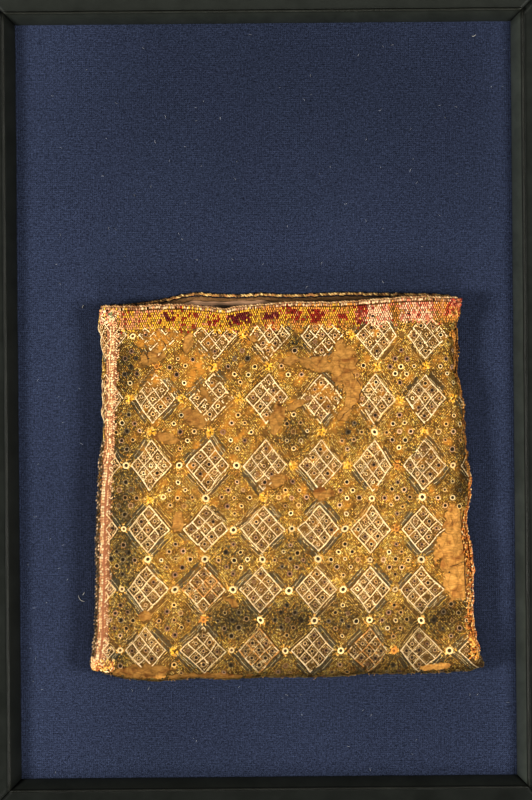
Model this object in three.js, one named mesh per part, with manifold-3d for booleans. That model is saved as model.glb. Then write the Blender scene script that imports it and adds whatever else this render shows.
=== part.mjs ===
// A small embroidered reliquary burse, sewn up as a flat purse, on a cloth-covered board in a plain wood frame.
// Millimetres. The frame lies on its back: X runs to the viewer's right, Y up the picture, Z out of it,
// and the origin is the middle of the frame's back.
import * as THREE from "three";
import { RoundedBoxGeometry } from "three/addons/geometries/RoundedBoxGeometry.js";
import { mergeVertices } from "three/addons/utils/BufferGeometryUtils.js";
import Module from "manifold-3d";

// Air left between pieces that touch.
const GAP = 0.3;

// The frame: four mitred lengths of one moulding round the opening that the cloth is seen through.
const OPENING = { width: 198.6, height: 302.0 };
const RAIL = { width: 20.0, flatTop: 21.4, outerRound: 0.8 };
const LIP = { underside: 16.3, edgeTop: 17.4, slopeWidth: 3.9, slopeTop: 21.6 };
const RIDGE = { width: 1.4, top: 22.4 };

// The board in the rebate, and the cloth that covers its face and turns over its edges to the back.
const BOARD = { lap: 4.0, thickness: 5.0 };
const CLOTH = { top: 16.0, thickness: 1.0, turnOver: 22.0, edgeRound: 0.9 };

// The purse: one thick embroidered cloth, folded at its foot and sides and open at the top.
const PURSE = { thickness: 10.0, wall: 1.5, sideRound: 4.2, footRound: 4.6 };
const PURSE_GRID = { roundSteps: 3, across: 22, up: 19 };

// Its side edges, from the foot to the mouth.
const SIDES = [
  { y: -106.0, left: -71.2, right: 86.2 },
  { y: -98.0, left: -69.8, right: 83.0 },
  { y: -88.0, left: -69.0, right: 81.1 },
  { y: -78.0, left: -68.6, right: 81.2 },
  { y: -68.0, left: -68.2, right: 81.0 },
  { y: -58.0, left: -68.4, right: 79.0 },
  { y: -48.0, left: -68.0, right: 78.7 },
  { y: -36.0, left: -67.4, right: 80.7 },
  { y: -24.0, left: -66.7, right: 79.5 },
  { y: -14.0, left: -65.1, right: 78.5 },
  { y: -4.0, left: -65.2, right: 78.3 },
  { y: 4.0, left: -65.0, right: 77.0 },
  { y: 10.0, left: -65.4, right: 75.0 },
  { y: 17.0, left: -65.0, right: 74.4 },
  { y: 24.0, left: -65.4, right: 74.1 },
  { y: 31.0, left: -66.4, right: 75.0 },
  { y: 36.0, left: -66.3, right: 77.2 },
  { y: 41.0, left: -66.2, right: 77.6 },
];

// The folded edge at its foot.
const FOOT = [
  { x: -71.2, y: -105.8 },
  { x: -69.6, y: -107.4 },
  { x: -63.0, y: -109.1 },
  { x: -57.6, y: -110.6 },
  { x: -44.4, y: -111.9 },
  { x: -32.8, y: -110.9 },
  { x: -15.6, y: -111.3 },
  { x: -0.8, y: -110.6 },
  { x: 20.8, y: -110.8 },
  { x: 42.4, y: -109.7 },
  { x: 63.6, y: -109.6 },
  { x: 78.9, y: -108.7 },
  { x: 84.4, y: -107.4 },
  { x: 86.2, y: -105.6 },
];

// The cut edges of the front and of the back at the mouth: the back stands a little higher in the middle.
const FRONT_EDGE = [
  { x: -66.2, y: 36.8 },
  { x: -52.0, y: 36.5 },
  { x: -42.0, y: 36.9 },
  { x: -31.5, y: 36.8 },
  { x: -22.7, y: 36.0 },
  { x: -16.0, y: 35.3 },
  { x: -8.0, y: 36.6 },
  { x: 0.5, y: 37.3 },
  { x: 13.7, y: 37.7 },
  { x: 28.5, y: 37.4 },
  { x: 43.7, y: 38.3 },
  { x: 54.0, y: 39.0 },
  { x: 65.0, y: 39.2 },
  { x: 77.6, y: 39.1 },
];
const BACK_EDGE = [
  { x: -66.2, y: 36.8 },
  { x: -56.0, y: 36.9 },
  { x: -47.5, y: 37.7 },
  { x: -39.0, y: 39.1 },
  { x: -33.4, y: 40.5 },
  { x: -27.0, y: 41.4 },
  { x: -20.6, y: 40.9 },
  { x: -9.8, y: 40.8 },
  { x: -1.4, y: 41.3 },
  { x: 8.0, y: 40.5 },
  { x: 17.0, y: 40.3 },
  { x: 30.6, y: 40.5 },
  { x: 43.8, y: 40.0 },
  { x: 56.0, y: 39.6 },
  { x: 77.6, y: 39.1 },
];

// Soft folds and humps of the front: each an oval centred at x, y, its long side turned from X by degrees.
const FOLDS = [
  { x: 5, y: -42, turn: 0, length: 60, width: 46, height: 0.6 },
  { x: -8, y: 24, turn: -32, length: 9, width: 3.2, height: -0.5 },
  { x: 52, y: 8, turn: 88, length: 30, width: 4.5, height: -0.35 },
  { x: -56, y: -22, turn: 91, length: 60, width: 5.5, height: -0.3 },
  { x: -29, y: 12, turn: 70, length: 13, width: 4.5, height: -0.3 },
  { x: 36, y: 6, turn: 100, length: 14, width: 4, height: -0.35 },
  { x: 72, y: -84, turn: 60, length: 10, width: 6, height: -0.45 },
  { x: 14, y: 18, turn: 5, length: 16, width: 5, height: 0.35 },
];

// The lining against the inside of the back.
const LINING = { thickness: 1.0, below: 1.3, sideIn: 6.2, footIn: 8.0, across: 20, up: 14 };

// The band of silk stitches along the front of the mouth, and the cords on both edges of the mouth.
const BAND = { thickness: 1.0, height: 7.8, below: 0.3, left: -59.4, across: 32, up: 3 };
const CORD = { diameter: 1.4, raised: 0.35, sides: 8, steps: 64 };

// The braids over the side seams: the left one lies on the front, and the right one on the side fold.
const BRAID = { thickness: 1.2, thin: 0.45, across: 6, steps: 34 };
const LEFT_BRAID = [
  { y: -103.5, x: -67.8, width: 5.2 },
  { y: -96.0, x: -66.9, width: 5.0 },
  { y: -80.0, x: -66.1, width: 4.8 },
  { y: -60.0, x: -65.6, width: 4.6 },
  { y: -40.0, x: -65.2, width: 4.6 },
  { y: -22.0, x: -63.8, width: 4.4 },
  { y: 0.0, x: -62.6, width: 4.4 },
  { y: 20.0, x: -61.8, width: 4.4 },
  { y: 36.0, x: -61.7, width: 3.8 },
];
const RIGHT_BRAID = [
  { y: -101.0, turn: 34, width: 3.2 },
  { y: -88.0, turn: 26, width: 3.4 },
  { y: -70.0, turn: 16, width: 3.4 },
  { y: -50.0, turn: 6, width: 3.4 },
  { y: -30.0, turn: -8, width: 3.0 },
  { y: 0.0, turn: -16, width: 3.0 },
  { y: 37.0, turn: -16, width: 3.0 },
];

// Colours of the pieces.
const FINISH = {
  wood: { color: 0x1f2119, roughness: 0.5, metalness: 0 },
  board: { color: 0x9c8460, roughness: 0.85, metalness: 0 },
  blueCloth: { color: 0x28314a, roughness: 0.95, metalness: 0 },
  embroidery: { color: 0x9a7430, roughness: 0.8, metalness: 0 },
  lining: { color: 0x5d4536, roughness: 0.7, metalness: 0 },
  silkBand: { color: 0xc98a4c, roughness: 0.75, metalness: 0 },
  creamCord: { color: 0xd9c19a, roughness: 0.8, metalness: 0 },
  goldCord: { color: 0xa98445, roughness: 0.8, metalness: 0 },
  braid: { color: 0xcda27c, roughness: 0.8, metalness: 0 },
};

// A value of a table between its rows, on a smooth curve through them; rows run upwards in `key`.
function smooth(table, key, column, at) {
  const last = table.length - 1;
  const here = THREE.MathUtils.clamp(at, table[0][key], table[last][key]);
  let i = 0;
  while (i < last - 1 && here > table[i + 1][key]) i += 1;
  const slope = (j) => {
    const low = table[Math.max(j - 1, 0)];
    const high = table[Math.min(j + 1, last)];
    return (high[column] - low[column]) / (high[key] - low[key]);
  };
  const span = table[i + 1][key] - table[i][key];
  const t = (here - table[i][key]) / span;
  const near = table[i][column] * (1 + 2 * t) * (1 - t) ** 2 + slope(i) * span * t * (1 - t) ** 2;
  const far = table[i + 1][column] * (3 - 2 * t) * t ** 2 - slope(i + 1) * span * (1 - t) * t ** 2;
  return near + far;
}

// A closed geometry from triangles given as lists of three points.
function geometryOf(triangles) {
  const positions = triangles.flatMap((corners) => corners.flatMap((p) => [p.x, p.y, p.z]));
  const geometry = new THREE.BufferGeometry();
  geometry.setAttribute("position", new THREE.Float32BufferAttribute(positions, 3));
  const merged = mergeVertices(geometry, 1e-4);
  merged.computeVertexNormals();
  return merged;
}

// Two triangles for four corners that run anticlockwise when seen from outside.
function quad(a, b, c, d) {
  return [
    [a, b, c],
    [a, c, d],
  ];
}

// The triangles of a grid of points, rows[j][i], facing the side from which i runs right and j runs up.
function sheet(rows, flipped) {
  const triangles = [];
  for (let j = 0; j + 1 < rows.length; j += 1) {
    for (let i = 0; i + 1 < rows[j].length; i += 1) {
      const corners = [rows[j][i], rows[j][i + 1], rows[j + 1][i + 1], rows[j + 1][i]];
      triangles.push(...quad(...(flipped ? corners.reverse() : corners)));
    }
  }
  return triangles;
}

// A closed solid between an upper and a lower grid of the same size.
function slab(upper, lower) {
  const last = upper.length - 1;
  const leftSide = [upper.map((row) => row[0]), lower.map((row) => row[0])];
  const rightSide = [lower.map((row) => row.at(-1)), upper.map((row) => row.at(-1))];
  return geometryOf([
    ...sheet(upper, false),
    ...sheet(lower, true),
    ...sheet([lower[0], upper[0]], false),
    ...sheet([upper[last], lower[last]], false),
    ...sheet(leftSide, false),
    ...sheet(rightSide, false),
  ]);
}

// The purse's shape
const PURSE_BACK = CLOTH.top + GAP;
const PURSE_MIDDLE = PURSE_BACK + PURSE.thickness / 2;

const leftEdge = (y) => smooth(SIDES, "y", "left", y);
const rightEdge = (y) => smooth(SIDES, "y", "right", y);
const footEdge = (x) => smooth(FOOT, "x", "y", x);
const topEdge = (face, x) => smooth(face > 0 ? FRONT_EDGE : BACK_EDGE, "x", "y", x);

// Share of the full thickness left at a distance from a rounded edge.
function rounded(distance, radius) {
  const t = THREE.MathUtils.clamp(distance / radius, 0, 1);
  return Math.sqrt(1 - (1 - t) ** 2);
}

function foldsAt(x, y) {
  let sum = 0;
  for (const fold of FOLDS) {
    const turn = THREE.MathUtils.degToRad(fold.turn);
    const along = ((x - fold.x) * Math.cos(turn) + (y - fold.y) * Math.sin(turn)) / fold.length;
    const over = ((y - fold.y) * Math.cos(turn) - (x - fold.x) * Math.sin(turn)) / fold.width;
    sum += fold.height * Math.exp(-(along ** 2) - over ** 2);
  }
  return sum;
}

// Height of the purse's front (face 1) or back (face -1) at x, y; inset moves it inwards into the wall.
function faceHeight(face, x, y, inset = 0) {
  const sideRound = PURSE.sideRound - inset;
  const fromSide = Math.min(x - leftEdge(y), rightEdge(y) - x) - inset;
  const fromFoot = y - footEdge(x) - inset;
  const share = rounded(fromSide, sideRound) * rounded(fromFoot, PURSE.footRound - inset);
  const swell = face > 0 ? foldsAt(x, y) : 0;
  return PURSE_MIDDLE + share * (face * (PURSE.thickness / 2 - inset) + swell);
}

// Places along a span whose two ends are rounded: `edge` is the distance from the nearer end's start.
function stations(spans, startRound, endRound) {
  const places = [];
  for (let k = 0; k < PURSE_GRID.roundSteps && startRound; k += 1) {
    places.push({ share: 0, edge: startRound * (1 - Math.cos((k / PURSE_GRID.roundSteps) * (Math.PI / 2))) });
  }
  for (let k = 0; k <= spans; k += 1) {
    places.push({ share: k / spans, edge: startRound + (k / spans) * (-startRound - endRound) });
  }
  for (let k = 1; k <= PURSE_GRID.roundSteps && endRound; k += 1) {
    places.push({ share: 1, edge: -endRound * (1 - Math.sin((k / PURSE_GRID.roundSteps) * (Math.PI / 2))) });
  }
  return places;
}

// A grid of places inside four curved bounds: left and right are read at y, foot and top at x.
function patch(bounds, across, up) {
  return up.map((row) =>
    across.map((column) => {
      const at = new THREE.Vector2();
      for (let pass = 0; pass < 6; pass += 1) {
        const left = bounds.left(at.y);
        at.x = left + (bounds.right(at.y) - left) * column.share + column.edge;
        const foot = bounds.foot(at.x);
        at.y = foot + (bounds.top(at.x) - foot) * row.share + row.edge;
      }
      return at;
    }),
  );
}

// One wall surface of the purse as a grid of points from the foot to the mouth.
function wallGrid(face, inset) {
  const bounds = {
    left: (y) => leftEdge(y) + inset,
    right: (y) => rightEdge(y) - inset,
    foot: (x) => footEdge(x) + inset,
    top: (x) => topEdge(face, x),
  };
  const across = stations(PURSE_GRID.across, PURSE.sideRound - inset, PURSE.sideRound - inset);
  const up = stations(PURSE_GRID.up, PURSE.footRound - inset, 0);
  const rows = patch(bounds, across, up);
  return rows.map((row) => row.map(({ x, y }) => new THREE.Vector3(x, y, faceHeight(face, x, y, inset))));
}

// Front and back share the points of the sides and of the foot, where the cloth is folded.
function foldedPair(inset) {
  const front = wallGrid(1, inset);
  const back = wallGrid(-1, inset);
  front.forEach((row, j) => {
    back[j][0] = row[0];
    back[j][row.length - 1] = row.at(-1);
  });
  back[0] = front[0];
  return { front, back };
}

function purseBody() {
  const outer = foldedPair(0);
  const inner = foldedPair(PURSE.wall);
  return geometryOf([
    ...sheet(outer.front, false),
    ...sheet(outer.back, true),
    ...sheet(inner.front, true),
    ...sheet(inner.back, false),
    ...sheet([outer.front.at(-1), inner.front.at(-1)], false),
    ...sheet([inner.back.at(-1), outer.back.at(-1)], false),
  ]);
}

function liningSheet() {
  const bounds = {
    left: (y) => leftEdge(y) + LINING.sideIn,
    right: (y) => rightEdge(y) - LINING.sideIn,
    foot: (x) => footEdge(x) + LINING.footIn,
    top: (x) => topEdge(-1, x) - LINING.below,
  };
  const places = patch(bounds, stations(LINING.across, 0, 0), stations(LINING.up, 0, 0));
  const rows = (height) => places.map((row) => row.map(({ x, y }) => new THREE.Vector3(x, y, height)));
  const bottom = PURSE_BACK + PURSE.wall + GAP;
  return slab(rows(bottom + LINING.thickness), rows(bottom));
}

// A point on the purse's front raised along the surface's normal.
function aboveFront(x, y, raise) {
  const step = 0.2;
  const slopeX = (faceHeight(1, x + step, y) - faceHeight(1, x - step, y)) / (2 * step);
  const slopeY = (faceHeight(1, x, y + step) - faceHeight(1, x, y - step)) / (2 * step);
  const normal = new THREE.Vector3(-slopeX, -slopeY, 1).normalize();
  return new THREE.Vector3(x, y, faceHeight(1, x, y)).addScaledVector(normal, raise);
}

function silkBand() {
  const top = (x) => topEdge(1, x) - BAND.below;
  const bounds = { left: () => BAND.left, right: rightEdge, foot: (x) => top(x) - BAND.height, top };
  const across = stations(BAND.across, 0, PURSE.sideRound).slice(0, -1);
  const places = patch(bounds, across, stations(BAND.up, 0, 0));
  const rows = (raise) => places.map((row) => row.map(({ x, y }) => aboveFront(x, y, raise)));
  return slab(rows(GAP + BAND.thickness), rows(GAP));
}

// A round cord on the cut edge of the front or of the back.
function mouthCord(face) {
  const middle = wallGrid(face, PURSE.wall / 2).at(-1).slice(1, -1);
  const lift = new THREE.Vector3(0, GAP + CORD.diameter / 2, face > 0 ? CORD.raised : 0);
  const path = new THREE.CatmullRomCurve3(middle.map((p) => p.clone().add(lift)), false, "centripetal");
  const section = new THREE.Shape(
    Array.from({ length: CORD.sides }, (_, k) => {
      const angle = (k / CORD.sides) * 2 * Math.PI;
      return new THREE.Vector2(Math.cos(angle), Math.sin(angle)).multiplyScalar(CORD.diameter / 2);
    }),
  );
  return new THREE.ExtrudeGeometry(section, { steps: CORD.steps, extrudePath: path });
}

// A braid is thickest along its middle.
function braidRaise(share) {
  return GAP + BRAID.thin + (BRAID.thickness - BRAID.thin) * Math.sin(share * Math.PI);
}

function braidGeometry(table, pointAt) {
  const rows = (raiseAt) =>
    Array.from({ length: BRAID.steps + 1 }, (_, j) => {
      const y = THREE.MathUtils.lerp(table[0].y, table.at(-1).y, j / BRAID.steps);
      return Array.from({ length: BRAID.across + 1 }, (_, i) => {
        const share = i / BRAID.across;
        return pointAt(y, share - 0.5, raiseAt(share));
      });
    });
  return slab(
    rows(braidRaise),
    rows(() => GAP),
  );
}

function leftBraid() {
  return braidGeometry(LEFT_BRAID, (y, across, raise) => {
    const x = smooth(LEFT_BRAID, "y", "x", y) + across * smooth(LEFT_BRAID, "y", "width", y);
    return aboveFront(x, y, raise);
  });
}

// The side fold is part of an ellipse; a turn of 0 is its outermost line and 90 degrees the front.
function rightBraid() {
  const reach = PURSE.sideRound;
  const rise = PURSE.thickness / 2;
  return braidGeometry(RIGHT_BRAID, (y, across, raise) => {
    const spread = smooth(RIGHT_BRAID, "y", "width", y) / rise;
    const turn = THREE.MathUtils.degToRad(smooth(RIGHT_BRAID, "y", "turn", y)) - across * spread;
    const on = new THREE.Vector3(rightEdge(y) - reach * (1 - Math.cos(turn)), y, PURSE_MIDDLE + rise * Math.sin(turn));
    const normal = new THREE.Vector3(Math.cos(turn) / reach, 0, Math.sin(turn) / rise).normalize();
    return on.addScaledVector(normal, raise);
  });
}

// One length of moulding along X, its inner edge at Y = inner, mitred at both ends.
function railGeometry(halfLength, inner) {
  const board = BOARD.lap + GAP + CLOTH.thickness + GAP;
  const flatStart = LIP.slopeWidth + RIDGE.width;
  const profile = new THREE.Shape([
    new THREE.Vector2(0, LIP.underside),
    new THREE.Vector2(board, LIP.underside),
    new THREE.Vector2(board, 0),
    new THREE.Vector2(RAIL.width, 0),
    new THREE.Vector2(RAIL.width, RAIL.flatTop - RAIL.outerRound),
    new THREE.Vector2(RAIL.width - RAIL.outerRound, RAIL.flatTop),
    new THREE.Vector2(flatStart, RAIL.flatTop),
    new THREE.Vector2(flatStart - 0.2 * RIDGE.width, RIDGE.top - 0.2),
    new THREE.Vector2(LIP.slopeWidth + RIDGE.width / 2, RIDGE.top),
    new THREE.Vector2(LIP.slopeWidth + 0.2 * RIDGE.width, RIDGE.top - 0.2),
    new THREE.Vector2(LIP.slopeWidth, LIP.slopeTop),
    new THREE.Vector2(0, LIP.edgeTop),
  ]);
  const geometry = new THREE.ExtrudeGeometry(profile, { depth: 1, bevelEnabled: false });
  const position = geometry.getAttribute("position");
  for (let k = 0; k < position.count; k += 1) {
    const out = position.getX(k);
    const end = 2 * position.getZ(k) - 1;
    const height = position.getY(k);
    position.setXYZ(k, end * (halfLength + out - GAP / 2), inner + out, height);
  }
  geometry.computeVertexNormals();
  return geometry;
}

// Joining and cutting of closed geometries
const wasm = await Module();
wasm.setup();

function solidOf(geometry) {
  const bare = geometry.clone();
  bare.deleteAttribute("normal");
  bare.deleteAttribute("uv");
  const merged = mergeVertices(bare, 1e-4);
  const vertProperties = new Float32Array(merged.getAttribute("position").array);
  return new wasm.Manifold(
    new wasm.Mesh({ numProp: 3, vertProperties, triVerts: new Uint32Array(merged.index.array) }),
  );
}

function geometryFrom(solid) {
  const mesh = solid.getMesh();
  const geometry = new THREE.BufferGeometry();
  geometry.setAttribute("position", new THREE.BufferAttribute(mesh.vertProperties, 3));
  geometry.setIndex(new THREE.BufferAttribute(mesh.triVerts, 1));
  geometry.computeVertexNormals();
  return geometry;
}

// A block from its size and the height of its top.
function block(width, height, thickness, top) {
  return new THREE.BoxGeometry(width, height, thickness).translate(0, 0, top - thickness / 2);
}

const BOARD_SIZE = { width: OPENING.width + 2 * BOARD.lap, height: OPENING.height + 2 * BOARD.lap };
const BOARD_TOP = CLOTH.top - CLOTH.thickness - GAP;

function mountCloth() {
  const over = 2 * (GAP + CLOTH.thickness);
  const depth = BOARD.thickness + over;
  const outer = new RoundedBoxGeometry(
    BOARD_SIZE.width + over,
    BOARD_SIZE.height + over,
    depth,
    1,
    CLOTH.edgeRound,
  ).translate(0, 0, CLOTH.top - depth / 2);
  const aroundBoard = block(
    BOARD_SIZE.width + 2 * GAP,
    BOARD_SIZE.height + 2 * GAP,
    BOARD.thickness + 2 * GAP,
    BOARD_TOP + GAP,
  );
  const backHole = block(
    BOARD_SIZE.width + over - 2 * CLOTH.turnOver,
    BOARD_SIZE.height + over - 2 * CLOTH.turnOver,
    depth,
    BOARD_TOP,
  );
  return geometryFrom(solidOf(outer).subtract(solidOf(aroundBoard).add(solidOf(backHole))));
}

const part = new THREE.Group();
part.name = "framed_reliquary_burse";

function add(name, geometry, finish, parent = part) {
  const mesh = new THREE.Mesh(geometry, new THREE.MeshStandardMaterial(FINISH[finish]));
  mesh.name = name;
  parent.add(mesh);
  return mesh;
}

// Frame
const frame = new THREE.Group();
part.add(frame);
const RAILS = [
  { name: "top", quarterTurns: 0, halfLength: OPENING.width / 2, inner: OPENING.height / 2 },
  { name: "left", quarterTurns: 1, halfLength: OPENING.height / 2, inner: OPENING.width / 2 },
  { name: "bottom", quarterTurns: 2, halfLength: OPENING.width / 2, inner: OPENING.height / 2 },
  { name: "right", quarterTurns: 3, halfLength: OPENING.height / 2, inner: OPENING.width / 2 },
];
for (const rail of RAILS) {
  const mesh = add(`frame_rail_${rail.name}`, railGeometry(rail.halfLength, rail.inner), "wood", frame);
  mesh.rotation.z = (rail.quarterTurns * Math.PI) / 2;
}

// Mount
add("mount_board", block(BOARD_SIZE.width, BOARD_SIZE.height, BOARD.thickness, BOARD_TOP), "board");
add("mount_cloth", mountCloth(), "blueCloth");

// Purse
const purse = new THREE.Group();
part.add(purse);
add("burse_body", purseBody(), "embroidery", purse);
add("burse_lining", liningSheet(), "lining", purse);
add("mouth_band", silkBand(), "silkBand", purse);
add("rim_cord_front", mouthCord(1), "creamCord", purse);
add("rim_cord_back", mouthCord(-1), "goldCord", purse);
add("seam_braid_left", leftBraid(), "braid", purse);
add("seam_braid_right", rightBraid(), "braid", purse);

export default part;
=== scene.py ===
"""Looks of a framed reliquary burse: an embroidered purse on blue cloth in a plain dark wood frame.

Sizes are in millimetres, in the solids' own frame, and turn into metres where a mesh is made.
Colours are display values from 0 to 255 and turn linear where they are used.
"""

import math

import bpy
import numpy as np
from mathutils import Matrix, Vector


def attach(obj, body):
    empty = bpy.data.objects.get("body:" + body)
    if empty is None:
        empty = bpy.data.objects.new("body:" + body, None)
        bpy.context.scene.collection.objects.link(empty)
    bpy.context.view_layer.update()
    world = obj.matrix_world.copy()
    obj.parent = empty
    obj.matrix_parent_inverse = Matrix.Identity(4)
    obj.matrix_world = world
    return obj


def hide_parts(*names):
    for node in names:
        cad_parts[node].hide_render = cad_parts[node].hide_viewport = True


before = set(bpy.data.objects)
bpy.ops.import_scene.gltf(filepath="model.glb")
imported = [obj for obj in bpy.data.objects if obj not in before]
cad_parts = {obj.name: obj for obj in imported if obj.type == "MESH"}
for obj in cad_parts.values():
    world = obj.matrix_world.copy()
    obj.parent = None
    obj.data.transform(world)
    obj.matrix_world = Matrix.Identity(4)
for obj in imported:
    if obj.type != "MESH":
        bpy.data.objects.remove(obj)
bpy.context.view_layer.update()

MM = 0.001
RANDOM = np.random.default_rng(21)


def table(columns, *rows):
    """A short table: one named column for each word, one tuple for each row."""
    return dict(zip(columns.split(), np.array(rows, float).T))


# Sizes that the solids have too
GAP = 0.3
OPENING = {"width": 198.6, "height": 302.0}
BOARD_LAP = 4.0
CLOTH = {"top": 16.0, "thickness": 1.0, "turn_over": 22.0, "round": 0.9, "depth": 7.6}
PURSE = {"thickness": 10.0, "wall": 1.5, "side_round": 4.2, "foot_round": 4.6}
MIDDLE = CLOTH["top"] + GAP + PURSE["thickness"] / 2
LINING = {"thickness": 1.0, "below": 1.3, "side_in": 6.2, "foot_in": 8.0}
BAND = {"height": 7.8, "below": 0.3, "left": -59.4}
CORD_RAISED = 0.35

SIDES = table(
    "y left right",
    (-106, -71.2, 86.2),
    (-98, -69.8, 83),
    (-88, -69, 81.1),
    (-78, -68.6, 81.2),
    (-68, -68.2, 81),
    (-58, -68.4, 79),
    (-48, -68, 78.7),
    (-36, -67.4, 80.7),
    (-24, -66.7, 79.5),
    (-14, -65.1, 78.5),
    (-4, -65.2, 78.3),
    (4, -65, 77),
    (10, -65.4, 75),
    (17, -65, 74.9),
    (24, -65.4, 75),
    (31, -66.4, 75.9),
    (36, -66.3, 77.2),
    (41, -66.2, 77.6),
)
FOOT = table(
    "x y",
    (-71.2, -105.8),
    (-69.6, -107.4),
    (-63, -109.1),
    (-57.6, -110.6),
    (-44.4, -111.9),
    (-32.8, -110.9),
    (-15.6, -111.3),
    (-0.8, -110.6),
    (20.8, -110.8),
    (42.4, -109.7),
    (63.6, -109.6),
    (78.9, -108.7),
    (84.4, -107.4),
    (86.2, -105.6),
)
FRONT_EDGE = table(
    "x y",
    (-66.2, 36.8),
    (-52, 36.5),
    (-42, 36.9),
    (-31.5, 36.8),
    (-22.7, 36),
    (-16, 35.3),
    (-8, 36.6),
    (0.5, 37.3),
    (13.7, 37.7),
    (28.5, 37.4),
    (43.7, 38.3),
    (54, 39),
    (65, 39.2),
    (77.6, 39.1),
)
BACK_EDGE = table(
    "x y",
    (-66.2, 36.8),
    (-56, 36.9),
    (-47.5, 37.7),
    (-39, 39.1),
    (-33.4, 40.5),
    (-27, 41.4),
    (-20.6, 40.9),
    (-9.8, 40.8),
    (-1.4, 41.3),
    (8, 40.5),
    (17, 40.3),
    (30.6, 40.5),
    (43.8, 40),
    (56, 39.6),
    (77.6, 39.1),
)
# How far the worn rims of the front and of the back stand above the solids' top edges
RIM_RISE = table(
    "x front back",
    (-66.2, 0, 0),
    (-50, 0.4, 0.5),
    (-25, 0.3, 0.3),
    (0, 0, 0),
    (20, 0.3, 0.6),
    (50, 0.4, 1),
    (68, 0.4, 1),
    (77.6, 0, 0),
)
# Folds and humps of the front, the solids' own first, then finer creases and wrinkles
FOLDS = table(
    "x y turn length width height",
    (5, -42, 0, 60, 46, 0.6),
    (-8, 24, -32, 9, 3.2, -0.5),
    (52, 8, 88, 30, 4.5, -0.35),
    (-56, -22, 91, 60, 5.5, -0.3),
    (-29, 12, 70, 13, 4.5, -0.3),
    (36, 6, 100, 14, 4, -0.35),
    (72, -84, 60, 10, 6, -0.45),
    (14, 18, 5, 16, 5, 0.35),
)
CREASES = table(
    "x y turn length width height",
    (-8, 24.6, -30, 8.5, 0.8, -0.55),
    (-2, 20.5, -8, 6, 0.7, -0.35),
    (18, 11, 62, 5, 0.7, -0.3),
    (27, 13, 100, 7, 0.8, -0.28),
    (33, 3, 75, 6, 0.9, 0.25),
    (24, 0, 150, 6, 0.8, -0.22),
    (73.5, -67.6, 4, 7, 0.55, -0.5),
    (75, -52, -6, 6, 0.6, 0.3),
    (72, -76, 2, 6, 0.6, -0.25),
    (-44, 18, 25, 6, 0.8, -0.3),
    (-33, 20, 85, 6, 0.8, -0.35),
    (-38, -14, -20, 6, 0.8, 0.3),
    (-27, -8, 60, 6, 0.8, -0.3),
    (5, -10, 80, 8, 0.8, -0.3),
    (-50, -107, 6, 12, 1, 0.35),
    (-20, -108, -3, 20, 1.1, 0.3),
    (30, -107, 2, 22, 1, 0.28),
    (66, -106, 8, 8, 0.8, 0.35),
    (45, 22, 92, 12, 1.4, -0.3),
    (60, -30, 84, 22, 1.6, -0.2),
    (20, -60, 88, 26, 1.8, -0.16),
    (-21, -50, 91, 30, 1.8, -0.16),
    (71, 10, 84, 16, 1.5, -0.35),
)


# Sums on tables and surfaces
def smooth(rows, key, column, at):
    """A column's value between its rows, on the same smooth curve as in the solids."""
    keys, values = rows[key], rows[column]
    last = len(keys) - 1
    order = np.arange(last + 1)
    low, high = np.maximum(order - 1, 0), np.minimum(order + 1, last)
    slope = (values[high] - values[low]) / (keys[high] - keys[low])
    here = np.clip(at, keys[0], keys[-1])
    i = np.clip(np.searchsorted(keys, here) - 1, 0, last - 1)
    span = keys[i + 1] - keys[i]
    t = (here - keys[i]) / span
    near = values[i] * (1 + 2 * t) * (1 - t) ** 2 + slope[i] * span * t * (1 - t) ** 2
    far = values[i + 1] * (3 - 2 * t) * t**2 - slope[i + 1] * span * (1 - t) * t**2
    return near + far


def oval_distance(rows, k, x, y):
    """Squared distance from the oval in row k, 1 on its edge."""
    turn = math.radians(rows["turn"][k])
    dx, dy = x - rows["x"][k], y - rows["y"][k]
    along = (dx * math.cos(turn) + dy * math.sin(turn)) / rows["length"][k]
    over = (dy * math.cos(turn) - dx * math.sin(turn)) / rows["width"][k]
    return along**2 + over**2


def ovals(rows, x, y, column):
    """Sum over soft ovals, each scaled by the value in `column`."""
    return sum(scale * np.exp(-oval_distance(rows, k, x, y)) for k, scale in enumerate(rows[column]))


def ripple(x, y, wavelength, seed, waves=7):
    """Smooth unevenness between about -1 and 1, the same on every run."""
    source = np.random.default_rng(seed)
    total = 0.0
    for _ in range(waves):
        angle, phase = source.uniform(0, 2 * math.pi, 2)
        number = 2 * math.pi / (wavelength * source.uniform(0.7, 1.5))
        total = total + np.sin(number * (x * math.cos(angle) + y * math.sin(angle)) + phase)
    return total / math.sqrt(waves) / 1.4


def left_edge(y):
    return smooth(SIDES, "y", "left", y) + 0.22 * ripple(y, 0.0, 5.5, 3)


def right_edge(y):
    return smooth(SIDES, "y", "right", y) + 0.3 * ripple(y, 0.0, 4.5, 4)


def foot_edge(x):
    return smooth(FOOT, "x", "y", x) + 0.22 * ripple(x, 0.0, 5.0, 5)


def top_edge(face, x):
    return smooth(FRONT_EDGE if face > 0 else BACK_EDGE, "x", "y", x)


def rim_edge(face, x):
    """The worn top edge of the front (face 1) or the back (face -1)."""
    rise = smooth(RIM_RISE, "x", "front" if face > 0 else "back", x)
    return top_edge(face, x) + rise + 0.25 * ripple(x, 0.0, 3.0, 61 + face)


def rounded(distance, radius):
    return np.sqrt(1 - (1 - np.clip(distance / radius, 0, 1)) ** 2)


def points_at(*columns):
    """Points, or other rows of numbers, from their separate columns."""
    return np.stack(np.broadcast_arrays(*columns), axis=-1)


def front_swell(x, y):
    """How far the front stands above or below its even thickness."""
    coarse = ovals(FOLDS, x, y, "height") + 1.5 * ovals(CREASES, x, y, "height")
    return coarse + 0.10 * ripple(x, y, 9.0, 11) + 0.05 * ripple(x, y, 3.6, 12)


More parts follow.
